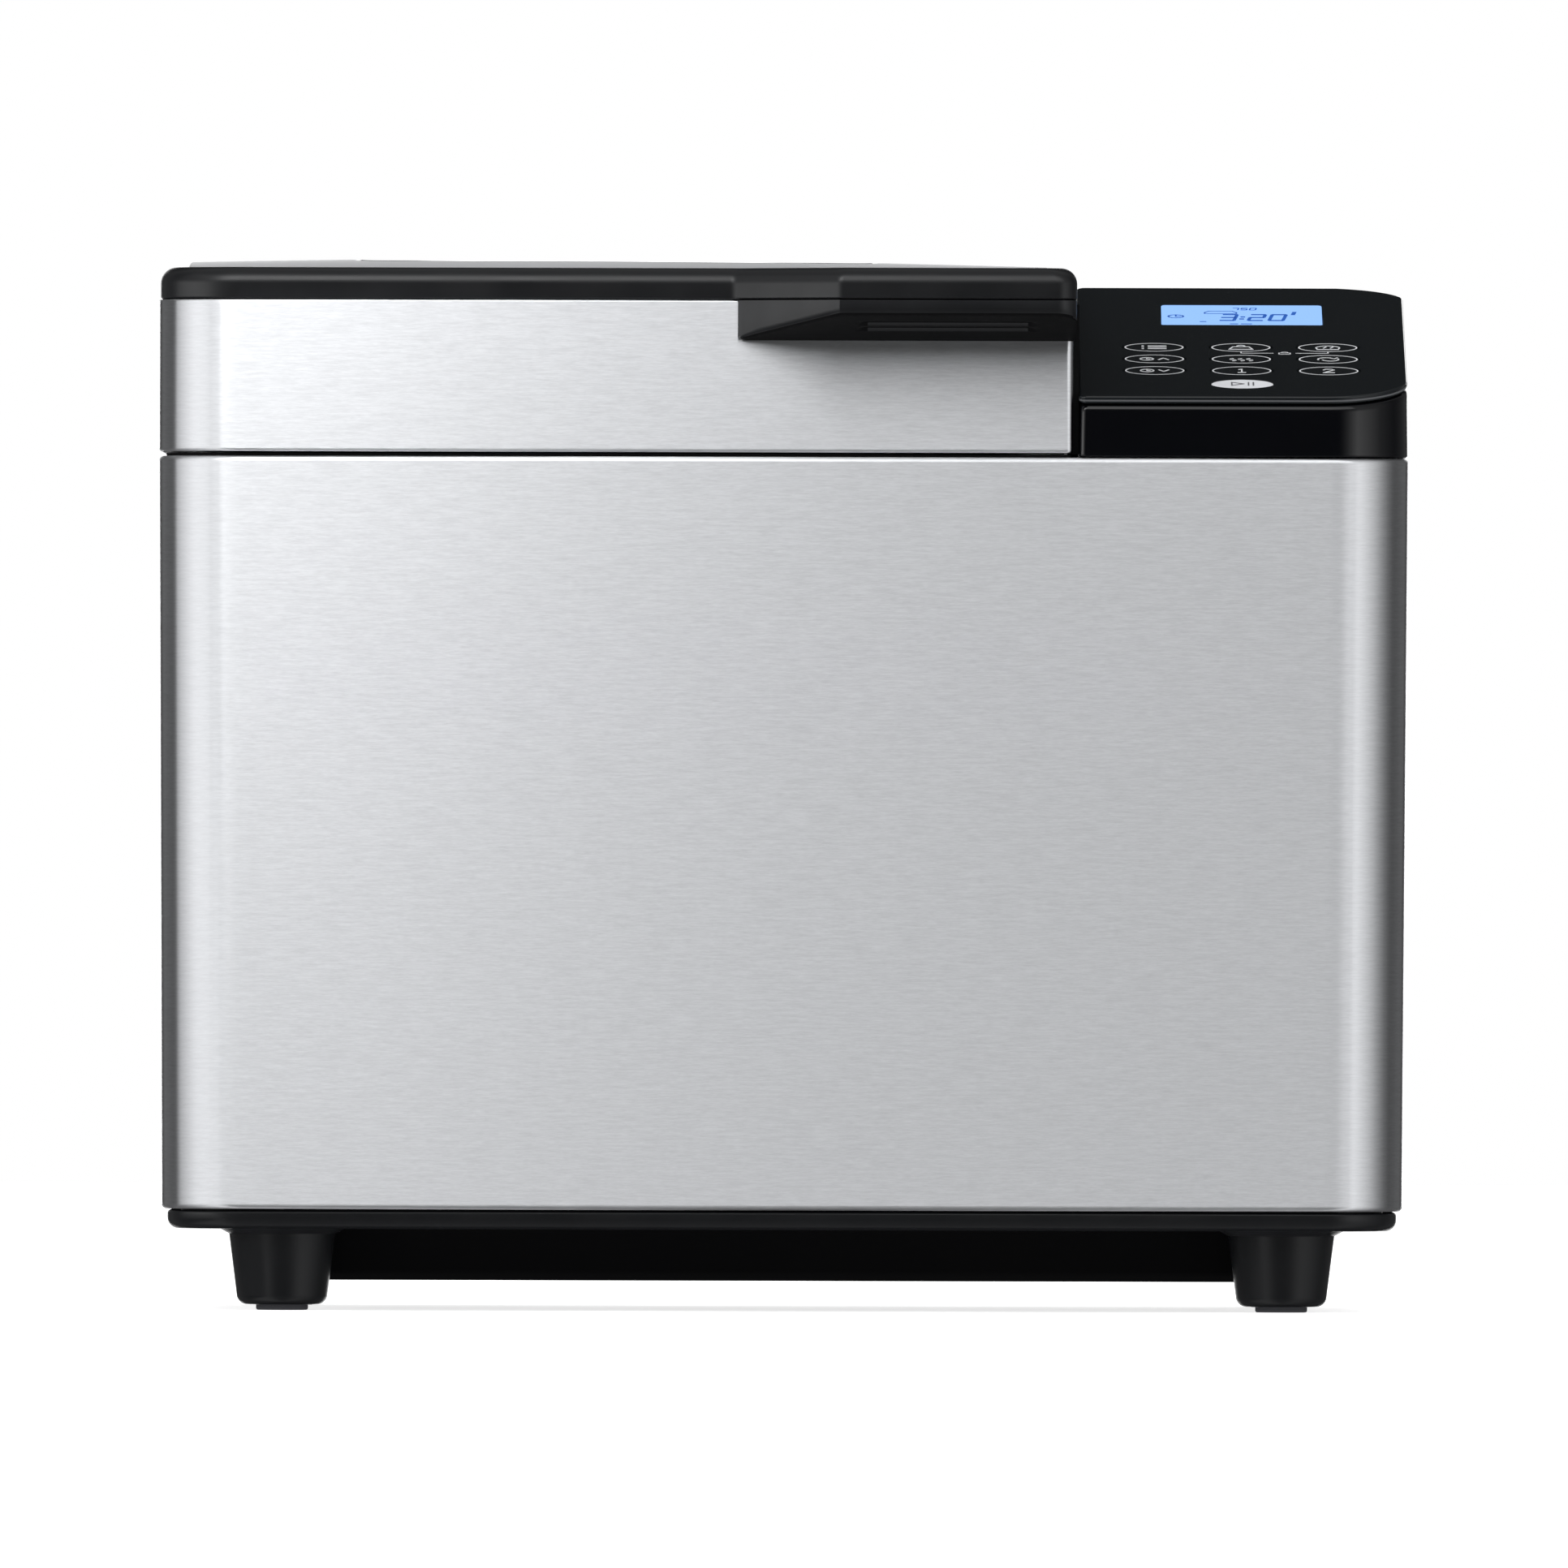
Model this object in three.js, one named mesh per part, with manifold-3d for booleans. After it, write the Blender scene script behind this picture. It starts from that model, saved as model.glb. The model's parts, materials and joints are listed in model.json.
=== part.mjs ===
// A countertop bread machine, in millimetres, +Z up, front towards -Y, standing on z = 0.
// A brushed steel housing holds an oven chamber with a bread pan on the left and the motor and
// electronics on the right. A hinged lid closes the chamber, and a sloping control housing with
// ten keys and a display closes the right-hand bay.

import * as THREE from "three";
import { mergeVertices } from "three/addons/utils/BufferGeometryUtils.js";
import Module from "manifold-3d";

const wasm = await Module();
wasm.setup();

// ---------------------------------------------------------------- driving dimensions

const GAP = 0.3; // between pieces that touch
const STEEL = 1.2; // sheet thickness
const TURN = 2 * Math.PI;

const BODY = { halfWidth: 180, depth: 240, centreY: 10, corner: 23 };
const FRONT = BODY.centreY - BODY.depth / 2;
const BACK = BODY.centreY + BODY.depth / 2;
const FOOT_TAPER = 0.993; // the housing's size at its foot, as a share of its size at the top

const LEVEL = {
  tray: 23.5, // underside of the base tray
  shell: 29.2, // lower edge of the steel housing
  chassis: 50, // underside of the chassis plate
  chamber: 62, // underside of the oven chamber
  deck: 245.7, // top of the top deck
  shellTop: 246,
  lid: 247.3, // lower edge of the lid
  band: 291, // top of the lid's steel band
  rim: 300.3, // top of the lid's plastic rim
};

const OVEN = { x: -48.5, halfX: 116, halfY: 91, corner: 18 };
const PAN = { halfX: 92.5, halfY: 62.5, corner: 24, floor: 84.3, rim: 233, taper: 0.93, wall: 1.5 };
const BAIL = { z: 236, armX: 86.8, reach: 50, wire: 2.2 };
const SOCKET = { radius: 43.5, tabs: 3, tabAngle: 14 };

const MOTOR_X = 128;
const BELT = { pitch: 5, bigTeeth: 50, smallTeeth: 10, bottom: 37.6, top: 44.4, thick: 1.8 };
const BIG_TIP = (BELT.pitch * BELT.bigTeeth) / TURN - 0.4;
const SMALL_TIP = (BELT.pitch * BELT.smallTeeth) / TURN - 0.25;

const LID = { left: -180, right: 82.6, back: 117, smallCorner: 2 };
const ARCH = { base: 299.9, rise: 4.1, crest: -75, leftFall: 1.25, rightFall: 2.2 };
const HINGE = { y: 125, z: 255, rod: 2, knuckle: 4.6, xs: [-118, 23] };
const GRIP = { left: -14.5, shoulder: 15.9, right: 84.2, reach: 24, corner: 6, low: 279.5, high: 286.9 };
const WINDOW = { halfX: 75, halfY: 55, corner: 14, centreY: 4, sealTop: 303, glassTop: 302.6 };

const CONSOLE = { left: 85, ridgeY: 42, ridgeBack: 293, rear: 285, wall: 2.2 };
const PANEL = { z: 263.8, slope: THREE.MathUtils.degToRad(12.2), thick: 2.2, right: 179.4 };
PANEL.length = (CONSOLE.ridgeY - FRONT) / Math.cos(PANEL.slope);
const KEY = { halfX: 9, halfY: 6.3, deep: 3.2, column: 25.1, centreX: 132 };
const DISPLAY = { x: 132.6, halfX: 23.3, v0: 102.6, v1: 131.7 };

const FOOT = { x: 144, inset: 30, top: 14.9, bottom: 13, pad: 7.5 };

// ---------------------------------------------------------------- materials

const finish = (color, roughness, metalness = 0) =>
  new THREE.MeshStandardMaterial({ color, roughness, metalness });
const brushedSteel = finish(0xc6c7cb, 0.32, 1);
const plainSteel = finish(0x9fa2a6, 0.45, 1);
const darkSteel = finish(0x4a4c50, 0.5, 0.8);
const blackPlastic = finish(0x17181b, 0.38);
const glossBlack = finish(0x0d0f11, 0.12);
const rubber = finish(0x2a2b2d, 0.85);
const smokedGlass = finish(0x1c2226, 0.05);
const displayBlue = finish(0x99c4fd, 0.2);
const nonStick = finish(0x2b2c2f, 0.4, 0.3);
const castAluminium = finish(0xb4b6b8, 0.5, 0.9);
const copper = finish(0xb06a38, 0.4, 0.8);
const boardGreen = finish(0x1f5b3a, 0.6);
const nylon = finish(0xdcdad2, 0.6);
const keyWhite = finish(0xdfe1e4, 0.4);

// ---------------------------------------------------------------- geometry helpers

// A closed geometry as a manifold-3d solid, for joining and cutting.
function solid(geometry) {
  const bare = new THREE.BufferGeometry();
  bare.setAttribute("position", geometry.getAttribute("position"));
  if (geometry.index) bare.setIndex(geometry.index);
  const merged = mergeVertices(bare, 1e-4);
  const mesh = new wasm.Mesh({
    numProp: 3,
    vertProperties: merged.attributes.position.array,
    triVerts: new Uint32Array(merged.index.array),
  });
  return new wasm.Manifold(mesh);
}

function geometryOf(body) {
  const { vertProperties, triVerts } = body.getMesh();
  const geometry = new THREE.BufferGeometry();
  geometry.setAttribute("position", new THREE.BufferAttribute(vertProperties, 3));
  geometry.setIndex(new THREE.BufferAttribute(triVerts, 1));
  geometry.computeVertexNormals();
  return geometry;
}

const join = (...pieces) => geometryOf(pieces.map(solid).reduce((a, b) => a.add(b)));
const cut = (piece, ...tools) => geometryOf(tools.map(solid).reduce((a, b) => a.subtract(b), solid(piece)));
const common = (a, b) => geometryOf(solid(a).intersect(solid(b)));

// A rectangle with rounded corners: radii are front left, front right, back right, back left.
function rounded(x0, y0, x1, y1, radii) {
  const [fl, fr, br, bl] = Array.isArray(radii) ? radii : [radii, radii, radii, radii];
  const shape = new THREE.Shape();
  const corner = (x, y, r, quarter) => {
    if (r > 0) shape.absarc(x, y, r, (quarter * Math.PI) / 2, ((quarter + 1) * Math.PI) / 2, false);
    else shape.lineTo(x, y);
  };
  shape.moveTo(x0 + fl, y0);
  corner(x1 - fr, y0 + fr, fr, 3);
  corner(x1 - br, y1 - br, br, 0);
  corner(x0 + bl, y1 - bl, bl, 1);
  corner(x0 + fl, y0 + fl, fl, 2);
  return shape;
}

const centred = (halfX, halfY, r, x = 0, y = 0) => rounded(x - halfX, y - halfY, x + halfX, y + halfY, r);

function polygon(points) {
  return new THREE.Shape(points.map(([x, y]) => new THREE.Vector2(x, y)));
}

function disc(radius, x = 0, y = 0) {
  return new THREE.Shape().absarc(x, y, radius, 0, TURN, false);
}

// A ring sector, angles in degrees.
function sector(inner, outer, middle, width) {
  const from = THREE.MathUtils.degToRad(middle - width / 2);
  const to = THREE.MathUtils.degToRad(middle + width / 2);
  const shape = new THREE.Shape();
  shape.absarc(0, 0, outer, from, to, false);
  shape.absarc(0, 0, inner, to, from, true);
  return shape;
}

function extrude(shape, depth, curveSegments) {
  return new THREE.ExtrudeGeometry(shape, { depth, bevelEnabled: false, curveSegments });
}

// Extrusions of a drawn shape along each axis. Along X the shape is drawn in (y, z), along Y in (x, z).
const alongZ = (shape, z0, z1, steps = 4) => extrude(shape, z1 - z0, steps).translate(0, 0, z0);

function alongX(shape, x0, x1, steps = 6) {
  const turn = new THREE.Matrix4().makeBasis(
    new THREE.Vector3(0, 1, 0),
    new THREE.Vector3(0, 0, 1),
    new THREE.Vector3(1, 0, 0),
  );
  return extrude(shape, x1 - x0, steps).applyMatrix4(turn).translate(x0, 0, 0);
}

function alongY(shape, y0, y1, steps = 6) {
  return extrude(shape, y1 - y0, steps).rotateX(Math.PI / 2).translate(0, y1, 0);
}

const box = (x0, x1, y0, y1, z0, z1) => alongZ(rounded(x0, y0, x1, y1, 0), z0, z1);
const cylinder = (radius, z0, z1, x = 0, y = 0, steps = 8) => alongZ(disc(radius, x, y), z0, z1, steps);
const tube = (outer, inner, z0, z1, steps = 9) =>
  cut(cylinder(outer, z0, z1, 0, 0, steps), cylinder(inner, z0 - 1, z1 + 1, 0, 0, steps));

// A solid of revolution about Z from (radius, z) pairs that rise along the outside.
function turned(profile, steps = 16) {
  const points = profile.map(([radius, z]) => new THREE.Vector2(radius, z));
  return new THREE.LatheGeometry(points, steps).rotateX(Math.PI / 2);
}

// Scales a geometry about the vertical line at (x, y), from 1 at the top to share at the bottom.
function taper(geometry, bottom, top, share, x = 0, y = 0) {
  const place = geometry.getAttribute("position");
  for (let i = 0; i < place.count; i++) {
    const scale = share + ((1 - share) * (place.getZ(i) - bottom)) / (top - bottom);
    place.setX(i, x + (place.getX(i) - x) * scale);
    place.setY(i, y + (place.getY(i) - y) * scale);
  }
  return geometry;
}

// A round rod along a list of points.
function rod(points, radius, steps) {
  const path = new THREE.CurvePath();
  for (let i = 1; i < points.length; i++) {
    path.add(new THREE.LineCurve3(points[i - 1], points[i]));
  }
  return new THREE.ExtrudeGeometry(disc(radius), {
    steps,
    curveSegments: 4,
    extrudePath: new THREE.CatmullRomCurve3(path.getSpacedPoints(steps)),
  });
}

function add(parent, name, material, geometry, place = [0, 0, 0]) {
  const mesh = new THREE.Mesh(geometry, material);
  mesh.name = name;
  mesh.position.set(...place);
  parent.add(mesh);
  return mesh;
}

function group(parent, x = 0, y = 0, z = 0) {
  const made = new THREE.Group();
  made.position.set(x, y, z);
  parent.add(made);
  return made;
}

// ---------------------------------------------------------------- base

const machine = new THREE.Group();
machine.name = "bread_machine";

function addFeet(parent) {
  const recess = FOOT.pad + GAP;
  const foot = turned([
    [0, 3.4],
    [recess, 3.4],
    [recess, 1.6],
    [FOOT.bottom - 2.6, 1.6],
    [FOOT.bottom - 0.8, 2.3],
    [FOOT.bottom, 4.2],
    [FOOT.top, LEVEL.tray - GAP],
    [0, LEVEL.tray - GAP],
  ]);
  for (const [side, x] of [["left", -FOOT.x], ["right", FOOT.x]]) {
    for (const [end, y] of [["front", FRONT + FOOT.inset], ["back", BACK - FOOT.inset]]) {
      add(parent, `foot_${end}_${side}`, blackPlastic, foot, [x, y, 0]);
      add(parent, `foot_pad_${end}_${side}`, rubber, cylinder(FOOT.pad, 0, 3.1), [x, y, 0]);
    }
  }
}

function baseTray() {
  const outline = (inset) =>
    centred(BODY.halfWidth - inset, BODY.depth / 2 - inset, BODY.corner - inset + 1, 0, BODY.centreY);
  const dish = join(
    alongZ(outline(3), LEVEL.tray, LEVEL.shell - GAP),
    alongZ(outline(7), LEVEL.tray + 1, LEVEL.shell + 8),
  );
  const hollow = cut(
    dish,
    alongZ(outline(9), LEVEL.tray + 2.5, LEVEL.shell + 9),
    box(-138, 138, -52, 72, LEVEL.tray - 1, LEVEL.shell),
  );
  const posts = [-1, 1].flatMap((side) =>
    [-68, 88].map((y) => cylinder(5, LEVEL.tray + 2, LEVEL.chassis - GAP, side * 150, y, 3)),
  );
  return join(hollow, ...posts);
}

function bottomCover() {
  const outline = (inset) => centred(147 - inset, 70 - inset, 12 - inset, 0, BODY.centreY);
  const slots = [];
  for (let x = -110; x <= 110; x += 20) {
    slots.push(box(x - 2, x + 2, BODY.centreY - 30, BODY.centreY + 30, 7, 12));
  }
  return cut(
    alongZ(outline(0), 8.5, LEVEL.tray - GAP, 4),
    alongZ(outline(2), 10.7, LEVEL.tray, 4),
    ...slots,
  );
}

// ---------------------------------------------------------------- housing

function housingShell() {
  const { halfWidth, depth, centreY, corner } = BODY;
  const sleeve = centred(halfWidth, depth / 2, corner, 0, centreY);
  sleeve.holes.push(centred(halfWidth - STEEL, depth / 2 - STEEL, corner - STEEL, 0, centreY));
  const wall = taper(
    alongZ(sleeve, LEVEL.shell, LEVEL.shellTop, 6),
    LEVEL.shell,
    LEVEL.shellTop,
    FOOT_TAPER,
    0,
    centreY,
  );
  return cut(wall, alongY(rounded(-140, 45, 140, 232, 6), BACK - 10, BACK + 5, 3));
}

const GLAND = { x: 118, z: 62, hole: 6 };

function backPanel() {
  const through = (shape, steps) => alongY(shape, BACK - 10, BACK, steps);
  const slots = [];
  for (let x = -98; x <= 98; x += 14) {
    slots.push(through(centred(2, 16, 0, x, 190), 1));
  }
  return cut(
    alongY(rounded(-146, 39, 146, 238, 8), BACK - 4.6, BACK - 3, 3),
    through(disc(GLAND.hole, GLAND.x, GLAND.z), 5),
    ...slots,
  );
}

function cordGland() {
  return turned(
    [
      [3.6, 0],
      [GLAND.hole - GAP, 0],
      [GLAND.hole - GAP, 4.3],
      [10, 4.3],
      [10, 6.5],
      [6.4, 11],
      [3.6, 11],
      [3.6, 0],
    ],
    16,
  ).rotateX(-Math.PI / 2);
}

function topDeck() {
  const edge = STEEL + GAP + 0.1;
  const plate = centred(
    BODY.halfWidth - edge,
    BODY.depth / 2 - edge,
    BODY.corner - edge,
    0,
    BODY.centreY,
  );
  plate.holes.push(centred(OVEN.halfX + 1, OVEN.halfY + 1, OVEN.corner, OVEN.x, BODY.centreY));
  plate.holes.push(rounded(100, -60, 166, 80, 6));
  return alongZ(plate, LEVEL.deck - 3.3, LEVEL.deck);
}

function addHousing(parent) {
  add(parent, "base_tray", blackPlastic, baseTray());
  add(parent, "bottom_cover", blackPlastic, bottomCover());
  add(parent, "housing_shell", brushedSteel, housingShell());
  add(parent, "back_panel", darkSteel, backPanel());
  add(parent, "cord_gland", rubber, cordGland(), [GLAND.x, BACK - 7, GLAND.z]);
  add(parent, "top_deck", blackPlastic, topDeck());
}

// ---------------------------------------------------------------- oven chamber, heater and sensor

const HEATER = { halfX: 105.5, halfY: 82, corner: 26, z: 90, radius: 3.3, lead: 16 };
const PROBE = { x: -40, z: 130 };

function ovenChamber() {
  const { halfX, halfY, corner } = OVEN;
  const outline = (grow) => centred(halfX + grow, halfY + grow, corner + grow);
  const body = join(
    alongZ(outline(0), LEVEL.chamber, LEVEL.shellTop + 0.5),
    alongZ(outline(5), LEVEL.shellTop, LEVEL.shellTop + 0.8),
  );
  const leadHole = (y) => cylinder(4.6, 0, 20, 0, 0, 3).rotateY(Math.PI / 2).translate(halfX - 10, y, HEATER.z);
  return cut(
    body,
    alongZ(outline(-STEEL), LEVEL.chamber + STEEL, LEVEL.shellTop + 5),
    cylinder(6, LEVEL.chamber - 5, LEVEL.chamber + 5),
    leadHole(-HEATER.lead),
    leadHole(HEATER.lead),
    alongY(disc(3.7, PROBE.x, PROBE.z), halfY - 10, halfY + 5, 3),
  );
}

// A flat loop round the pan, open at the right, where its two ends leave through the chamber wall.
function heatingElement() {
  const { halfX, halfY, corner, z, lead, radius } = HEATER;
  const bend = 7;
  const line = new THREE.Path();
  line.moveTo(halfX + 22, -lead);
  line.lineTo(halfX + bend, -lead);
  line.absarc(halfX + bend, -lead - bend, bend, Math.PI / 2, Math.PI, false);
  line.lineTo(halfX, -halfY + corner);
  line.absarc(halfX - corner, -halfY + corner, corner, 0, -Math.PI / 2, true);
  line.absarc(-halfX + corner, -halfY + corner, corner, -Math.PI / 2, -Math.PI, true);
  line.absarc(-halfX + corner, halfY - corner, corner, Math.PI, Math.PI / 2, true);
  line.absarc(halfX - corner, halfY - corner, corner, Math.PI / 2, 0, true);
  line.lineTo(halfX, lead + bend);
  line.absarc(halfX + bend, lead + bend, bend, Math.PI, (3 * Math.PI) / 2, false);
  line.lineTo(halfX + 22, lead);
  const points = line.getPoints(8).map((p) => new THREE.Vector3(p.x, p.y, z));
  return rod(points, radius, 44);
}

function temperatureProbe() {
  return turned(
    [
      [0, 0],
      [3.2, 0],
      [3.2, 11.6],
      [6, 11.6],
      [6, 14],
      [3.2, 14],
      [3.2, 20],
      [0, 20],
    ],
    8,
  ).rotateX(-Math.PI / 2);
}

function panSocket() {
  const { radius, tabs, tabAngle } = SOCKET;
  const floor = LEVEL.chamber + STEEL + GAP;
  const hooks = [];
  for (let i = 0; i < tabs; i++) {
    hooks.push(alongZ(sector(radius - 2.7, radius + 1, (360 / tabs) * i, tabAngle), 73.6, 76, 2));
  }
  return join(
    tube(radius + 2.5, radius, floor, 76, 9),
    tube(radius + 8.5, radius, floor, floor + 1.5, 9),
    ...hooks,
  );
}

function addOven(parent) {
  const oven = group(parent, OVEN.x, BODY.centreY);
  add(oven, "oven_chamber", plainSteel, ovenChamber());
  add(oven, "heating_element", darkSteel, heatingElement());
  add(oven, "temperature_probe", plainSteel, temperatureProbe(), [PROBE.x, OVEN.halfY - 11.3, PROBE.z]);
  add(oven, "pan_socket", castAluminium, panSocket());
}

// ---------------------------------------------------------------- bread pan and paddle

function breadPan() {
  const { halfX, halfY, corner, floor, rim, wall } = PAN;
  const outline = (grow) => centred(halfX + grow, halfY + grow, corner + grow);
  const outside = taper(alongZ(outline(0), floor, rim, 5), floor, rim, PAN.taper);
  const inside = taper(alongZ(outline(-wall), floor + wall, rim + 1, 5), floor, rim, PAN.taper);
  const lugs = [-1, 1].map((side) =>
    cut(
      alongX(rounded(-7, rim - 2, 7, rim + 8, [0, 0, 5, 5]), side * 93.8 - 1.3, side * 93.8 + 1.3, 4),
      alongX(disc(BAIL.wire + 0.4, 0, BAIL.z), side * 93.8 - 3, side * 93.8 + 3, 3),
    ),
  );
  return cut(
    join(outside, alongZ(outline(4), rim - 1.5, rim, 5), ...lugs),
    inside,
    cylinder(9.4, floor - 1, floor + 3),
  );
}

// The cast base riveted under the pan: a bayonet skirt with tabs, and the boss of the paddle shaft.
function panBase() {
  const { tabs, tabAngle } = SOCKET;
  const top = PAN.floor - GAP;
  const ears = [];
  for (let i = 0; i < tabs; i++) {
    ears.push(alongZ(sector(39, 42.8, (360 / tabs) * i, tabAngle), 70, 72.6, 2));
  }
  return cut(
    join(
      tube(40.2, 38.2, 66.5, top, 9),
      cylinder(39, top - 3, top, 0, 0, 9),
      cylinder(9, 75.5, 88, 0, 0, 4),
      ...ears,
    ),
    cylinder(4.6, 60, 90, 0, 0, 6),
  );
}

// The wire handle folds forward on to the pan. It starts and ends in the lugs' holes.
function panHandle() {
  const { z, armX, reach, wire } = BAIL;
  const point = (x, y) => new THREE.Vector3(x, y, z);
  const bends = 5;
  const half = [
    point(97, 0),
    point(armX + 2.5, 0),
    point(armX + 0.4, -0.6),
    point(armX, -2.6),
    point(armX, -reach + bends),
    point(armX - 1.5, -reach + 1.5),
    point(armX - bends, -reach),
  ];
  const mirrored = half.map((p) => point(-p.x, p.y)).reverse();
  return rod([...half, ...mirrored], wire, 52);
}

function paddleShaft() {
  return join(
    cylinder(4, 74, 104, 0, 0, 6),
    alongZ(centred(13, 2.5, 1), 69.5, 74.5, 2),
  );
}

function kneadingPaddle() {
  const hub = cylinder(8, 88.4, 108, 0, 0, 5);
  const blade = alongY(
    polygon([
      [4, 89],
      [50, 89],
      [53, 93],
      [49, 103],
      [34, 112],
      [14, 116],
      [4, 112],
    ]),
    -2,
    2,
  );
  return cut(join(hub, blade), cylinder(4.3, 80, 104.5, 0, 0, 6));
}

function addPan(parent) {
  const pan = group(parent, OVEN.x, BODY.centreY);
  add(pan, "bread_pan", nonStick, breadPan());
  add(pan, "pan_base", castAluminium, panBase());
  add(pan, "pan_handle", plainSteel, panHandle());
  add(pan, "paddle_shaft", plainSteel, paddleShaft());
  add(pan, "kneading_paddle", nonStick, kneadingPaddle());
}

// ---------------------------------------------------------------- drive

function chassisPlate() {
  const plate = rounded(-158, -78, 162, 98, 8);
  plate.holes.push(disc(14, OVEN.x, BODY.centreY));
  plate.holes.push(disc(8, MOTOR_X, BODY.centreY));
  const posts = [-1, 1].flatMap((sx) =>
    [-1, 1].map((sy) =>
      cylinder(4, LEVEL.chassis + 1, LEVEL.chamber - GAP, OVEN.x + sx * 80, BODY.centreY + sy * 62, 3),
    ),
  );
  return join(alongZ(plate, LEVEL.chassis, LEVEL.chassis + 2, 4), ...posts);
}

function shaftBearing() {
  const flange = LEVEL.chassis + 2 + GAP;
  return cut(
    join(cylinder(12, 47.4, 60, 0, 0, 6), cylinder(18, flange, flange + 2, 0, 0, 6)),
    cylinder(4.6, 40, 70, 0, 0, 6),
  );
}

// A toothed wheel: each tooth is a flat tip and a flat root joined by straight flanks.
function toothedDisc(teeth, tip, depth) {
  const points = [];
  for (let i = 0; i < teeth; i++) {
    const corners = [[0, tip - depth], [0.12, tip], [0.5, tip], [0.62, tip - depth]];
    for (const [share, radius] of corners) {
      const angle = (TURN * (i + share)) / teeth;
      points.push([radius * Math.cos(angle), radius * Math.sin(angle)]);
    }
  }
  return polygon(points);
}

function largePulley() {
  const rim = toothedDisc(BELT.bigTeeth, BIG_TIP, 1.6);
  for (let i = 0; i < 5; i++) {
    const angle = (TURN * i) / 5;
    rim.holes.push(disc(8.5, 26 * Math.cos(angle), 26 * Math.sin(angle)));
  }
  return cut(
    join(alongZ(rim, 37, 45, 3), cylinder(10, 34, 46.4, 0, 0, 4)),
    cylinder(4.3, 30, 50, 0, 0, 6),
  );
}

function driveCoupling() {
  const lugs = [90, 270].map((angle) => alongZ(sector(9, 13.5, angle, 40), 68, 75, 2));
  return cut(
    join(cylinder(14, 66.2, 68.2, 0, 0, 5), cylinder(8, 64, 67, 0, 0, 5), ...lugs),
    cylinder(4.3, 60, 66.2, 0, 0, 6),
  );
}

// The open belt runs round both pulleys on its two outer tangents.
function driveBelt() {
  const span = MOTOR_X - OVEN.x;
  const big = BIG_TIP + 0.4;
  const small = SMALL_TIP + 0.4;
  const lean = Math.acos((big - small) / span);
  const loop = (grow, shape) => {
    shape.absarc(0, 0, big + grow, lean, TURN - lean, false);
    shape.absarc(span, 0, small + grow, -lean, lean, false);
    return shape;
  };
  const band = loop(BELT.thick, new THREE.Shape());
  band.holes.push(loop(0, new THREE.Path()));
  return alongZ(band, BELT.bottom, BELT.top, 14);
}

function motorStator() {
  const legs = [-1, 1].flatMap((sx) =>
    [-1, 1].map((sy) => cylinder(3.5, LEVEL.chassis + 2 + GAP, 63, sx * 27, sy * 25, 2)),
  );
  return cut(
    join(alongZ(centred(32, 30, 6), 62, 100, 3), cylinder(26, 55, 108, 0, 0, 6), ...legs),
    cylinder(17, 50, 112, 0, 0, 6),
  );
}

function motorRotor() {
  return turned(
    [
      [0, 34],
      [3, 34],
      [3, 62],
      [15.7, 63],
      [15.7, 99],
      [3, 100],
      [3, 124],
      [0, 124],
    ],
    16,
  );
}

function motorPulley() {
  const teeth = alongZ(toothedDisc(BELT.smallTeeth, SMALL_TIP, 1.3), 36.5, 45.5, 3);
  const flanges = [
    [36, 36.9],
    [45.1, 46],
  ].map(([low, high]) => cylinder(9.6, low, high, 0, 0, 5));
  return cut(join(teeth, ...flanges), cylinder(3.4, 30, 50, 0, 0, 6));
}

function motorFan() {
  const blades = [];
  for (let i = 0; i < 8; i++) {
    blades.push(box(6, 27, -0.8, 0.8, 111, 120).rotateZ((TURN * i) / 8));
  }
  return cut(
    join(cylinder(27, 110, 111.4, 0, 0, 6), cylinder(8, 110, 120, 0, 0, 4), ...blades),
    cylinder(3.4, 100, 125, 0, 0, 6),
  );
}

// The supply board stands along the right wall, with its transformer, relay and terminal block.
function powerBoard() {
  return join(
    box(168, 169.6, -70, 70, 66, 200),
    box(142, 168.5, -20, 14, 140, 172),
    box(152, 168.5, 30, 46, 150, 170),
    box(156, 168.5, -60, -34, 180, 192),
  );
}

function addDrive(parent) {
  add(parent, "chassis_plate", plainSteel, chassisPlate());
  add(parent, "power_board", boardGreen, powerBoard());
  const drive = group(parent, OVEN.x, BODY.centreY);
  add(drive, "shaft_bearing", castAluminium, shaftBearing());
  add(drive, "drive_shaft", plainSteel, cylinder(4, 31, 65.9, 0, 0, 6));
  add(drive, "large_pulley", nylon, largePulley());
  add(drive, "drive_coupling", castAluminium, driveCoupling());
  add(drive, "drive_belt", rubber, driveBelt());
  const motor = group(parent, MOTOR_X, BODY.centreY);
  add(motor, "motor_stator", copper, motorStator());
  add(motor, "motor_rotor", plainSteel, motorRotor());
  add(motor, "motor_pulley", nylon, motorPulley());
  add(motor, "motor_fan", nylon, motorFan());
}

// ---------------------------------------------------------------- control housing, panel and keys

// Side view of the control housing, drawn inset from its outer surface.
function consoleProfile(inset) {
  const rise = Math.tan(PANEL.slope);
  const slopeZ = (y) => PANEL.z - (PANEL.thick + GAP) / Math.cos(PANEL.slope) + (y - FRONT) * rise;
  return polygon([
    [FRONT + inset, LEVEL.shellTop + GAP - inset],
    [BACK - inset, LEVEL.shellTop + GAP - inset],
    [BACK - inset, CONSOLE.rear - inset],
    [CONSOLE.ridgeY + 1, CONSOLE.ridgeBack - inset],
    [CONSOLE.ridgeY, slopeZ(CONSOLE.ridgeY) - inset],
    [FRONT + inset, slopeZ(FRONT + inset) - inset],
  ]);
}

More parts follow.
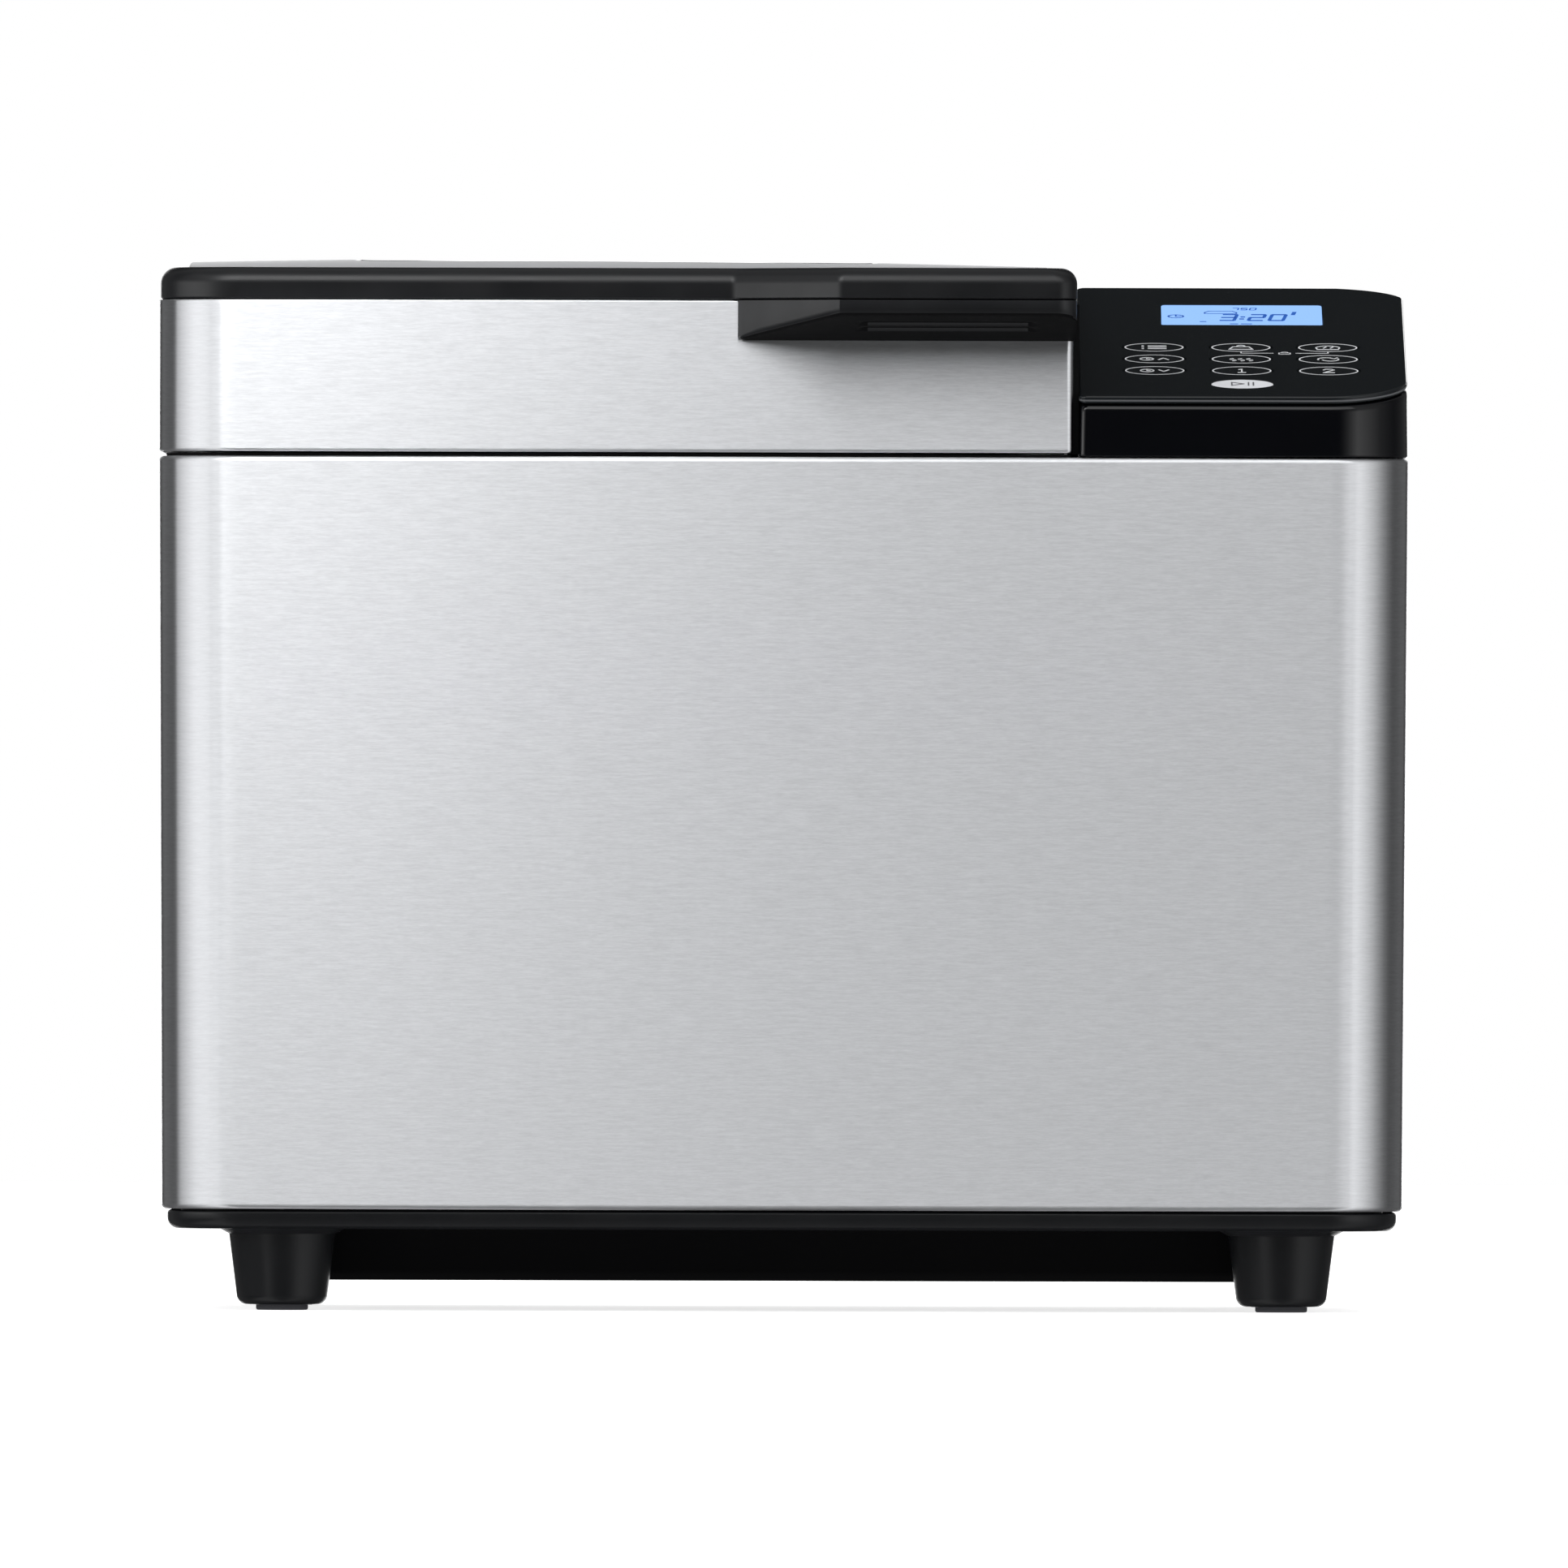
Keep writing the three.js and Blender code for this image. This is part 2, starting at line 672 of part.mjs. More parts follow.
function controlHousing() {
  const { left, wall } = CONSOLE;
  const right = BODY.halfWidth;
  const low = LEVEL.shellTop - 5;
  const form = (inset) =>
    common(
      alongX(consoleProfile(inset), left + inset, right - inset),
      taper(
        alongZ(
          rounded(left + inset, FRONT + inset, right - inset, BACK - inset, [
            2,
            BODY.corner - inset,
            BODY.corner - inset,
            2,
          ]),
          low,
          320,
          8,
        ),
        320,
        low,
        0.985,
        0,
        BODY.centreY,
      ),
    );
  const keyWindow = box(91, 171, 8, 148, -12, 4)
    .rotateX(PANEL.slope)
    .translate(0, FRONT, PANEL.z);
  const vents = [];
  for (let x = 104; x <= 160; x += 8) {
    vents.push(box(x - 1.5, x + 1.5, 70, 112, 270, 300));
  }
  return cut(form(0), form(wall), keyWindow, ...vents);
}

function oval(grow) {
  return new THREE.Shape().absellipse(0, 0, KEY.halfX + grow, KEY.halfY + grow, 0, TURN, false, 0);
}

// Each key's name, column (-1, 0 or 1) and distance up the slope from the panel's front edge.
const KEYS = [
  ["menu", -1, 70],
  ["weight", 0, 70],
  ["crust", 1, 70],
  ["time_up", -1, 53.3],
  ["bake", 0, 53.3],
  ["mix", 1, 53.3],
  ["time_down", -1, 36.7],
  ["program_one", 0, 36.7],
  ["program_two", 1, 36.7],
  ["start", 0, 18],
];
const keyPlace = ([, column, v]) => [KEY.centreX + column * KEY.column, v, 0];

function controlPanel() {
  const sheet = rounded(CONSOLE.left, 0, PANEL.right, PANEL.length, [2, 24, 2, 2]);
  const holes = KEYS.map((key) => alongZ(oval(0.35), -5, 5, 6).translate(...keyPlace(key)));
  const { x, halfX, v0, v1 } = DISPLAY;
  return cut(
    alongZ(sheet, -PANEL.thick, 0, 6),
    box(x - halfX - GAP, x + halfX + GAP, v0 - GAP, v1 + GAP, -5, 5),
    ...holes,
  );
}

function keyCap() {
  return join(alongZ(oval(0), -KEY.deep, 0, 6), alongZ(oval(0.9), -KEY.deep, -KEY.deep + 0.6, 6));
}

function lcdDisplay() {
  const { x, halfX, v0, v1 } = DISPLAY;
  return join(
    box(x - halfX, x + halfX, v0, v1, -5.9, 0),
    box(x - halfX - 2, x + halfX + 2, v0 - 2, v1 + 2, -5.9, -PANEL.thick - GAP),
  );
}

// The board lies under the panel, with one tact switch under each key.
function controlBoard() {
  const switches = KEYS.map((key) => box(-3, 3, -3, 3, -7, -4.3).translate(...keyPlace(key)));
  return join(box(93, 169, 12, 144, -7.8, -6.2), ...switches);
}

function addControls(parent) {
  add(parent, "control_housing", glossBlack, controlHousing());
  const slope = group(parent, 0, FRONT, PANEL.z);
  slope.rotation.x = PANEL.slope;
  add(slope, "control_panel", glossBlack, controlPanel());
  add(slope, "lcd_display", displayBlue, lcdDisplay());
  add(slope, "control_board", boardGreen, controlBoard());
  const cap = keyCap();
  for (const key of KEYS) {
    add(slope, `key_${key[0]}`, key[0] === "start" ? keyWhite : glossBlack, cap, keyPlace(key));
  }
}

// ---------------------------------------------------------------- lid

const lidCorners = (inset) => {
  const round = Math.max(BODY.corner - inset, 1);
  const small = Math.max(LID.smallCorner - inset, 0.5);
  return [round, small, small, round];
};

function lidOutline(inset) {
  return rounded(LID.left + inset, FRONT + inset, LID.right - inset, LID.back - inset, lidCorners(inset));
}

function lidBand() {
  const band = lidOutline(0);
  band.holes.push(lidOutline(STEEL));
  return alongZ(band, LEVEL.lid, LEVEL.band, 6);
}

// The rim follows the lid and swells forward at the right into the grip.
function rimOutline(inset) {
  const { left, shoulder, right, reach, corner } = GRIP;
  const start = LID.left + 0.4 + inset;
  const end = right - inset;
  const round = BODY.corner - inset;
  const nose = FRONT - reach + inset;
  const shape = new THREE.Shape();
  shape.moveTo(start + round, FRONT + inset);
  shape.lineTo(left + 0.35 * inset, FRONT + inset);
  shape.lineTo(shoulder + 0.35 * inset, nose);
  shape.absarc(end - corner, nose + corner, corner, -Math.PI / 2, 0, false);
  shape.lineTo(end, LID.back - inset);
  shape.absarc(start + round, LID.back - inset - round, round, Math.PI / 2, Math.PI, false);
  shape.absarc(start + round, FRONT + inset + round, round, Math.PI, (3 * Math.PI) / 2, false);
  return shape;
}

const PLATE = { left: -172, right: 76.6, front: -102, back: 109.5, corner: 15, low: 297.4 };

function plateOutline(inset) {
  const { left, right, front, back, corner } = PLATE;
  return rounded(left + inset, front + inset, right - inset, back - inset, corner - Math.min(inset, 8));
}

function lidRim() {
  const steps = [
    [0, LEVEL.band + GAP, 294.5],
    [1, 294, 297.2],
    [2.6, 297, 299.2],
    [4.8, 299, LEVEL.rim],
  ];
  const layers = steps.map(([inset, low, high]) => alongZ(rimOutline(inset), low, high, 5));
  return cut(
    join(...layers),
    alongZ(plateOutline(0), 297, LEVEL.rim + 1, 4),
    alongZ(plateOutline(8), LEVEL.band - 1, 298, 4),
  );
}

// The plate arches from front to back, and the arch is highest over its crest line.
function archAt(x, y) {
  const v = (2 * y - PLATE.front - PLATE.back) / (PLATE.back - PLATE.front);
  const [end, fall] = x < ARCH.crest ? [PLATE.left, ARCH.leftFall] : [PLATE.right, ARCH.rightFall];
  const u = (x - ARCH.crest) / (end - ARCH.crest);
  return (ARCH.rise - fall * u * u) * Math.max(0, 1 - v * v);
}

const windowOutline = (inset) =>
  centred(
    WINDOW.halfX - inset,
    WINDOW.halfY - inset,
    WINDOW.corner - inset,
    OVEN.x,
    WINDOW.centreY,
  );

// Joins rings of points, each the same length, into one closed skin that ends where it began.
function ringSolid(rings) {
  const count = rings[0].length;
  const positions = rings.flat().flatMap((p) => [p.x, p.y, p.z]);
  const index = [];
  rings.forEach((_, i) => {
    const next = ((i + 1) % rings.length) * count;
    for (let k = 0; k < count; k++) {
      const a = i * count + k;
      const b = i * count + ((k + 1) % count);
      const c = next + ((k + 1) % count);
      const d = next + k;
      index.push(a, b, c, a, c, d);
    }
  });
  const geometry = new THREE.BufferGeometry();
  geometry.setAttribute("position", new THREE.Float32BufferAttribute(positions, 3));
  geometry.setIndex(index);
  return geometry;
}

// The arched steel plate, from its edge in the rim to the window opening.
function lidTopPlate() {
  const count = 36;
  const around = (shape) => shape.getSpacedPoints(count).slice(0, count);
  const edge = around(plateOutline(GAP));
  const middle = around(windowOutline(8));
  const ring = (share, z, arched) =>
    edge.map((p, k) => {
      const x = p.x + (middle[k].x - p.x) * share;
      const y = p.y + (middle[k].y - p.y) * share;
      return new THREE.Vector3(x, y, z + arched * archAt(x, y));
    });
  const plate = ringSolid([
    ring(0, PLATE.low, 0),
    ring(0, ARCH.base, 1),
    ring(0.5, ARCH.base, 1),
    ring(1, ARCH.base, 1),
    ring(1, PLATE.low, 0.9),
    ring(0.5, PLATE.low, 0.9),
  ]);
  return cut(plate, alongZ(windowOutline(0), PLATE.low - 1, ARCH.base + 8));
}

function windowSeal() {
  const seal = windowOutline(GAP);
  seal.holes.push(windowOutline(3));
  return alongZ(seal, 298.5, WINDOW.sealTop, 3);
}

function lidLiner() {
  const y = BODY.centreY;
  const walls = (grow, r) => centred(122 + grow, 97 + grow, r, OVEN.x, y);
  const body = join(
    alongZ(lidOutline(STEEL + 0.4), LEVEL.lid + STEEL, LEVEL.lid + 2.7, 6),
    alongZ(walls(0, 20), LEVEL.lid + 2, LEVEL.band),
  );
  return cut(
    body,
    alongZ(walls(-2, 18), LEVEL.lid - 1, LEVEL.band - 1.5),
    alongZ(centred(70, 50, 12, OVEN.x, WINDOW.centreY), LEVEL.band - 5, LEVEL.band + 5, 3),
  );
}

// The lower half of the grip: a lip with a sloping underside that the fingers lift.
function lidHandle() {
  const back = FRONT - GAP;
  const front = FRONT - GRIP.reach;
  const side = polygon([
    [front, GRIP.high],
    [back, GRIP.low],
    [back, LEVEL.band],
    [front, LEVEL.band],
  ]);
  const plan = common(alongZ(rimOutline(0), 270, 300, 5), box(-30, 90, front - 5, back, 270, 300));
  return common(alongX(side, GRIP.left - 5, GRIP.right + 5), plan);
}

// ---------------------------------------------------------------- hinge

function hingeBracket() {
  const { y, z, knuckle, rod: pin } = HINGE;
  const foot = rounded(y - 5, LEVEL.deck + GAP, y + 3.4, z, 0);
  return cut(
    join(alongX(foot, -4.5, 4.5), alongX(disc(knuckle, y, z), -4.5, 4.5, 5)),
    alongX(disc(pin + GAP, y, z), -6, 6, 4),
  );
}

function hingeArm() {
  const { y, z, knuckle, rod: pin } = HINGE;
  const link = rounded(LID.back + GAP, z - 4, y, z + 4, 0);
  return cut(
    join(alongX(link, -4, 4), alongX(disc(knuckle, y, z), -4, 4, 5)),
    alongX(disc(pin + GAP, y, z), -6, 6, 4),
  );
}

function addLid(parent) {
  const lid = group(parent);
  add(lid, "lid_band", brushedSteel, lidBand());
  add(lid, "lid_rim", blackPlastic, lidRim());
  add(lid, "lid_top_plate", brushedSteel, lidTopPlate());
  add(lid, "window_seal", rubber, windowSeal());
  add(lid, "lid_window", smokedGlass, alongZ(windowOutline(3 + GAP), 299.4, WINDOW.glassTop, 3));
  add(lid, "lid_liner", blackPlastic, lidLiner());
  add(lid, "lid_handle", blackPlastic, lidHandle());
  const [left, right] = HINGE.xs;
  add(parent, "hinge_bracket_left", darkSteel, hingeBracket(), [left, 0, 0]);
  add(parent, "hinge_bracket_right", darkSteel, hingeBracket(), [right, 0, 0]);
  add(lid, "hinge_arm_left", darkSteel, hingeArm(), [left + 9, 0, 0]);
  add(lid, "hinge_arm_right", darkSteel, hingeArm(), [right - 9, 0, 0]);
  add(
    parent,
    "hinge_rod",
    plainSteel,
    alongX(disc(HINGE.rod, HINGE.y, HINGE.z), left - 7, right + 7, 4),
  );
}

// ---------------------------------------------------------------- assembly

addFeet(machine);
addHousing(machine);
addOven(machine);
addPan(machine);
addDrive(machine);
addControls(machine);
addLid(machine);

export default machine;
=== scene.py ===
"""A countertop bread machine: its looks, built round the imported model.

Everything is in metres in the model's own frame: +Z up, the front towards -Y, feet on z = 0.
"""

import json
import math

import bmesh
import bpy
from mathutils import Matrix, Vector


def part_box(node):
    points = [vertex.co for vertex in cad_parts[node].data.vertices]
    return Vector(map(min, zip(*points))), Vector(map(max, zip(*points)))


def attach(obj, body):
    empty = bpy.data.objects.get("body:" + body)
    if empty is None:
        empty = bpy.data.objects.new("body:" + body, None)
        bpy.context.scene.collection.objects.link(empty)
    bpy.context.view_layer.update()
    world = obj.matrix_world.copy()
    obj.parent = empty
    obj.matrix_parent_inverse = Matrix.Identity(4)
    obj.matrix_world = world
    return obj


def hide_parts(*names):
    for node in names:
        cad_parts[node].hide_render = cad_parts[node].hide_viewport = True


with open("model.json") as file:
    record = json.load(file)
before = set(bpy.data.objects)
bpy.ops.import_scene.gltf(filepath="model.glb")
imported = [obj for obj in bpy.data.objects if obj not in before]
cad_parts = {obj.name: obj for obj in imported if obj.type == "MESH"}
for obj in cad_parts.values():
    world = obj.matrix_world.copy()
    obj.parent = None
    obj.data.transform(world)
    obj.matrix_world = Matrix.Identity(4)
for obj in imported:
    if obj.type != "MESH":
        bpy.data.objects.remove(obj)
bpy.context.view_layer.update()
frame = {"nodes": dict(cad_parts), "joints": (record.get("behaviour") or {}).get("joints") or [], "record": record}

MM = 0.001
TURN = 2 * math.pi
Z_TO_X = Matrix.Rotation(math.pi / 2, 4, "Y")
Z_TO_Y = Matrix.Rotation(-math.pi / 2, 4, "X")
# Stands a shape drawn in x and y up in the plane of y and z, its thickness along x.
UPRIGHT = Matrix(((0, 0, 1, 0), (1, 0, 0, 0), (0, 1, 0, 0), (0, 0, 0, 1)))

# ---------------------------------------------------------------- places taken from the frame

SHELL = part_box("housing_shell")
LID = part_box("lid_band")
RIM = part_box("lid_rim")
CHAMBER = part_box("oven_chamber")
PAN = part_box("bread_pan")
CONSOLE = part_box("control_housing")
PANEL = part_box("control_panel")
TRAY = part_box("base_tray")
FRONT = SHELL[0].y
BACK = SHELL[1].y
MIDDLE_Y = (FRONT + BACK) / 2
OVEN_X = (CHAMBER[0].x + CHAMBER[1].x) / 2
CORNER = 23 * MM
# The steel wrap's width and depth at its foot, as a share of those at its top.
FOOT_TAPER = 0.993
# How far the near-black strips of painted shade reach into the slot between the lid and the console.
SLOT_SHADE_REACH = 2.3 * MM

KEY_AXIS = Vector(next(j for j in frame["joints"] if j["name"] == "key_start_press")["axis"])
SLOPE = math.atan2(KEY_AXIS.y, -KEY_AXIS.z)
PANEL_THICK = 2.2 * MM
PANEL_LENGTH = (PANEL[1].y - FRONT) / math.cos(SLOPE)
PANEL_FRONT_Z = PANEL[1].z - PANEL_LENGTH * math.sin(SLOPE)
ON_PANEL = Matrix.Translation((0, FRONT, PANEL_FRONT_Z)) @ Matrix.Rotation(SLOPE, 4, "X")


# ---------------------------------------------------------------- outlines and profiles


def rounded(x0, y0, x1, y1, radii, steps=12):
    """Points round a rectangle with rounded corners: front left, front right, back right, back left."""
    each = radii if isinstance(radii, (tuple, list)) else [radii] * 4
    fl, fr, br, bl = [max(r, 0.2 * MM) for r in each]
    corners = [
        (x0 + fl, y0 + fl, fl, 180),
        (x1 - fr, y0 + fr, fr, 270),
        (x1 - br, y1 - br, br, 0),
        (x0 + bl, y1 - bl, bl, 90),
    ]
    points = []
    for cx, cy, r, start in corners:
        for i in range(steps + 1):
            angle = math.radians(start + 90 * i / steps)
            points.append((cx + r * math.cos(angle), cy + r * math.sin(angle)))
    return points


def centred(half_x, half_y, r, x=0.0, y=0.0, steps=12):
    return rounded(x - half_x, y - half_y, x + half_x, y + half_y, r, steps)


def circle(radius, steps=48, x=0.0, y=0.0):
    return [
        (x + radius * math.cos(TURN * i / steps), y + radius * math.sin(TURN * i / steps))
        for i in range(steps)
    ]


def arc(cx, cz, r, start, end, steps=6, squash=1.0):
    """Points on an arc, angles in degrees, its height squashed by a share."""
    points = []
    for i in range(steps + 1):
        angle = math.radians(start + (end - start) * i / steps)
        points.append((cx + r * math.cos(angle), cz + squash * r * math.sin(angle)))
    return points


def stack(outline_at, profile):
    """One ring for each (inset, height) of a profile."""
    return [[(x, y, z) for x, y in outline_at(inset)] for inset, z in profile]


def tapered(rings, z0, z1, share, x=0.0, y=0.0):
    """Rings scaled about a vertical line, from share at z0 to 1 at z1."""
    out = []
    for ring in rings:
        scaled = []
        for px, py, pz in ring:
            k = share + (1 - share) * (pz - z0) / (z1 - z0)
            scaled.append((x + (px - x) * k, y + (py - y) * k, pz))
        out.append(scaled)
    return out


# ---------------------------------------------------------------- meshes


def to_object(name, bm, smooth_angle=35):
    bmesh.ops.remove_doubles(bm, verts=bm.verts, dist=1e-6)
    bmesh.ops.recalc_face_normals(bm, faces=bm.faces)
    mesh = bpy.data.meshes.new(name)
    bm.to_mesh(mesh)
    bm.free()
    return link(name, mesh, smooth_angle)


def link(name, mesh, smooth_angle=35):
    smooth(mesh, smooth_angle)
    piece = bpy.data.objects.new(name, mesh)
    bpy.context.scene.collection.objects.link(piece)
    return piece


def smooth(mesh, angle):
    mesh.polygons.foreach_set("use_smooth", [True] * len(mesh.polygons))
    mesh.set_sharp_from_angle(angle=math.radians(angle))


def loft(name, rings, closed=False, smooth_angle=35):
    """A skin through rings of the same length, capped at both ends or joined into a loop."""
    bm = bmesh.new()
    skin(bm, rings, closed)
    return to_object(name, bm, smooth_angle)


def skin(bm, rings, closed=False):
    verts = [[bm.verts.new(p) for p in ring] for ring in rings]
    count = len(rings[0])
    pairs = list(zip(verts, verts[1:]))
    if closed:
        pairs.append((verts[-1], verts[0]))
    for low, high in pairs:
        for i in range(count):
            j = (i + 1) % count
            bm.faces.new((low[i], low[j], high[j], high[i]))
    if not closed:
        bm.faces.new(list(reversed(verts[0])))
        bm.faces.new(verts[-1])


def flat_rings(points, *heights):
    return [[(x, y, z) for x, y in points] for z in heights]


def placed(rings, at):
    return [[tuple(at @ Vector(p)) for p in ring] for ring in rings]


def prism(name, points, z0, z1, edge=0.0):
    """A prism with rounded rims, for outlines that are convex."""
    if edge:
        mx = sum(p[0] for p in points) / len(points)
        my = sum(p[1] for p in points) / len(points)
        reach = max(math.hypot(p[0] - mx, p[1] - my) for p in points)

        def shrunk(inset):
            k = 1 - inset / reach
            return [(mx + (x - mx) * k, my + (y - my) * k) for x, y in points]

        profile = arc(edge, z0 + edge, edge, 270, 180, 4) + arc(edge, z1 - edge, edge, 180, 90, 4)
        rings = stack(shrunk, profile)
    else:
        rings = flat_rings(points, z0, z1)
    return loft(name, rings)


def lathe(name, profile, place=(0, 0, 0), axis="Z", steps=64):
    """A solid of revolution from (radius, height) pairs, standing on a place."""
    rings = [[(x, y, z) for x, y in circle(max(r, 1e-5), steps)] for r, z in profile]
    piece = loft(name, rings)
    turns = {"Z": Matrix(), "Y": Z_TO_Y, "X": Z_TO_X}
    piece.data.transform(Matrix.Translation(place) @ turns[axis])
    return piece


def pipe(name, points, radius, bend=0.0, sides=12):
    """A round rod along a path, with its corners rounded to a bend radius."""
    path = [Vector(p) for p in points]
    route = [path[0]]
    for before, corner, after in zip(path, path[1:], path[2:]):
        into = (corner - before).normalized()
        out = (after - corner).normalized()
        reach = min(bend, (corner - before).length * 0.49, (after - corner).length * 0.49)
        start, end = corner - into * reach, corner + out * reach
        for i in range(9):
            t = i / 8
            route.append(start * (1 - t) ** 2 + corner * 2 * t * (1 - t) + end * t**2)
    route.append(path[-1])
    curve = bpy.data.curves.new(name, "CURVE")
    curve.dimensions = "3D"
    curve.bevel_depth = radius
    curve.bevel_resolution = max(sides // 4 - 1, 0)
    curve.use_fill_caps = True
    spline = curve.splines.new("POLY")
    spline.points.add(len(route) - 1)
    for point, p in zip(spline.points, route):
        point.co = (*p, 1)
    holder = bpy.data.objects.new(name + "_path", curve)
    bpy.context.scene.collection.objects.link(holder)
    bpy.context.view_layer.update()
    mesh = bpy.data.meshes.new_from_object(holder.evaluated_get(bpy.context.evaluated_depsgraph_get()))
    bpy.data.objects.remove(holder)
    return link(name, mesh, 60)


def carve(piece, *cutters, smooth_angle=35):
    """Cuts shapes out of a piece and removes the cutters."""
    for cutter in cutters:
        modifier = piece.modifiers.new("cut", "BOOLEAN")
        modifier.operation = "DIFFERENCE"
        modifier.solver = "EXACT"
        modifier.object = cutter
    bpy.context.view_layer.update()
    evaluated = piece.evaluated_get(bpy.context.evaluated_depsgraph_get())
    mesh = bpy.data.meshes.new_from_object(evaluated)
    piece.modifiers.clear()
    piece.data = mesh
    smooth(mesh, smooth_angle)
    for cutter in cutters:
        bpy.data.objects.remove(cutter)
    return piece


def join(name, pieces):
    """Puts several meshes into one piece, side by side."""
    bm = bmesh.new()
    for piece in pieces:
        bm.from_mesh(piece.data)
        bpy.data.objects.remove(piece)
    mesh = bpy.data.meshes.new(name)
    bm.to_mesh(mesh)
    bm.free()
    return link(name, mesh)


def block(x0, x1, y0, y1, z0, z1):
    """A cutter for square holes."""
    return prism("cutter", [(x0, y0), (x1, y0), (x1, y1), (x0, y1)], z0, z1)


def dress(piece, material, body="root", replaces=(), weighted=True):
    """Gives a piece its material, finish, body and the CAD nodes it stands for."""
    piece.data.materials.clear()
    piece.data.materials.append(material)
    if weighted:
        modifier = piece.modifiers.new("even normals", "WEIGHTED_NORMAL")
        modifier.keep_sharp = True
    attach(piece, body)
    if replaces:
        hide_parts(*replaces)
    return piece


# ---------------------------------------------------------------- materials


class Surface:
    """A procedural material on object coordinates, with short names for its nodes."""

    def __init__(self, name, color, roughness, metallic=0.0, specular=0.5):
        self.material = bpy.data.materials.new(name)
        self.material.use_nodes = True
        self.tree = self.material.node_tree
        self.shader = self.tree.nodes["Principled BSDF"]
        self.color = color
        self.roughness = roughness
        self.set("Base Color", (*color, 1))
        self.set("Roughness", roughness)
        self.set("Metallic", metallic)
        self.set("Specular IOR Level", specular)
        self.coordinates = self.node("ShaderNodeTexCoord").outputs["Object"]

    def set(self, socket, value):
        self.shader.inputs[socket].default_value = value

    def node(self, kind, **settings):
        made = self.tree.nodes.new(kind)
        for key, value in settings.items():
            setattr(made, key, value)
        return made

    def wire(self, source, target):
        self.tree.links.new(source, target)

    def scaled(self, scale):
        mapping = self.node("ShaderNodeMapping")
        mapping.inputs["Scale"].default_value = (scale,) * 3 if isinstance(scale, (int, float)) else scale
        self.wire(self.coordinates, mapping.inputs["Vector"])
        return mapping.outputs["Vector"]

    def noise(self, scale, detail=3.0, rough=0.55):
        texture = self.node("ShaderNodeTexNoise")
        texture.inputs["Scale"].default_value = 1.0
        texture.inputs["Detail"].default_value = detail
        texture.inputs["Roughness"].default_value = rough
        self.wire(self.scaled(scale), texture.inputs["Vector"])
        return texture.outputs["Fac"]

    def cells(self, scale):
        texture = self.node("ShaderNodeTexVoronoi")
        texture.inputs["Scale"].default_value = 1.0
        self.wire(self.scaled(scale), texture.inputs["Vector"])
        return texture

    def span(self, value, low, high, start=0.3, end=0.7):
        """A value mapped from start..end to low..high."""
        mapped = self.node("ShaderNodeMapRange")
        for socket, number in (("From Min", start), ("From Max", end), ("To Min", low), ("To Max", high)):
            mapped.inputs[socket].default_value = number
        self.wire(value, mapped.inputs["Value"])
        return mapped.outputs["Result"]

    def blend(self, factor, first, second):
        mix = self.node("ShaderNodeMix", data_type="RGBA")
        mix.inputs["A"].default_value = (*first, 1)
        mix.inputs["B"].default_value = (*second, 1)
        self.wire(factor, mix.inputs["Factor"])
        return mix.outputs["Result"]

    def tint(self, factor, amount):
        """Varies the base colour up and down by a share of itself."""
        dark = [c * (1 - amount) for c in self.color]
        light = [min(c * (1 + amount), 1) for c in self.color]
        self.wire(self.blend(factor, dark, light), self.shader.inputs["Base Color"])

    def polish(self, factor, change, start=0.3, end=0.7):
        """Varies the roughness up and down by an amount."""
        result = self.span(factor, self.roughness - change, self.roughness + change, start, end)
        self.wire(result, self.shader.inputs["Roughness"])

    def bump(self, height, strength, depth):
        """Raises and sinks the surface; depth is in millimetres."""
        made = self.node("ShaderNodeBump")
        made.inputs["Strength"].default_value = strength
        made.inputs["Distance"].default_value = depth * MM
        self.wire(height, made.inputs["Height"])
        self.wire(made.outputs["Normal"], self.shader.inputs["Normal"])

    def worn_edges(self, color, amount=0.5):
        """Lightens the convex edges, as handling does."""
        convex = self.node("ShaderNodeNewGeometry").outputs["Pointiness"]
        factor = self.span(convex, 0.0, amount, 0.53, 0.62)
        mix = self.node("ShaderNodeMix", data_type="RGBA")
        mix.inputs["B"].default_value = (*color, 1)
        base = self.shader.inputs["Base Color"]
        if base.links:
            self.wire(base.links[0].from_socket, mix.inputs["A"])
        else:
            mix.inputs["A"].default_value = base.default_value
        self.wire(factor, mix.inputs["Factor"])
        self.wire(mix.outputs["Result"], base)


def brushed_steel(name, across, color=(0.74, 0.752, 0.775), roughness=0.36, anisotropy=1.0):
    """Sheet brushed in short streaks. across is the direction that the streaks are thin in."""
    steel = Surface(name, color, roughness, 1.0)
    steel.set("Anisotropic", anisotropy)
    steel.set("Anisotropic Rotation", 0.25)
    tangent = steel.node("ShaderNodeTangent", direction_type="RADIAL", axis="Z")
    steel.wire(tangent.outputs["Tangent"], steel.shader.inputs["Tangent"])
    fine = steel.noise([4200 if axis == across else 430 for axis in "XYZ"], 2.0, 0.6)
    broad = steel.noise([1400 if axis == across else 120 for axis in "XYZ"], 2.0)
    both = steel.node("ShaderNodeMath", operation="ADD")
    steel.wire(fine, both.inputs[0])
    steel.wire(broad, both.inputs[1])
    streaks = steel.span(both.outputs[0], 0.0, 1.0, 0.7, 1.3)
    steel.tint(streaks, 0.075)
    steel.polish(streaks, 0.015, 0.0, 1.0)
    steel.bump(fine, 0.05, 0.01)
    return steel.material


def grained(name, color, roughness, metallic=0.0, specular=0.5, bump=None, polish=None, tint=None, worn=None):
    """A surface made by noise.

    bump is (strength, depth, scale, detail), polish and tint are (change, scale, detail), and worn is
    the edges' colour and how far it goes in.
    """
    surface = Surface(name, color, roughness, metallic, specular)
    if bump:
        strength, depth, *noise = bump
        surface.bump(surface.noise(*noise), strength, depth)
    if polish:
        change, *noise = polish
        surface.polish(surface.noise(*noise), change)
    if tint:
        change, *noise = tint
        surface.tint(surface.noise(*noise), change)
    if worn:
        surface.worn_edges(*worn)
    return surface


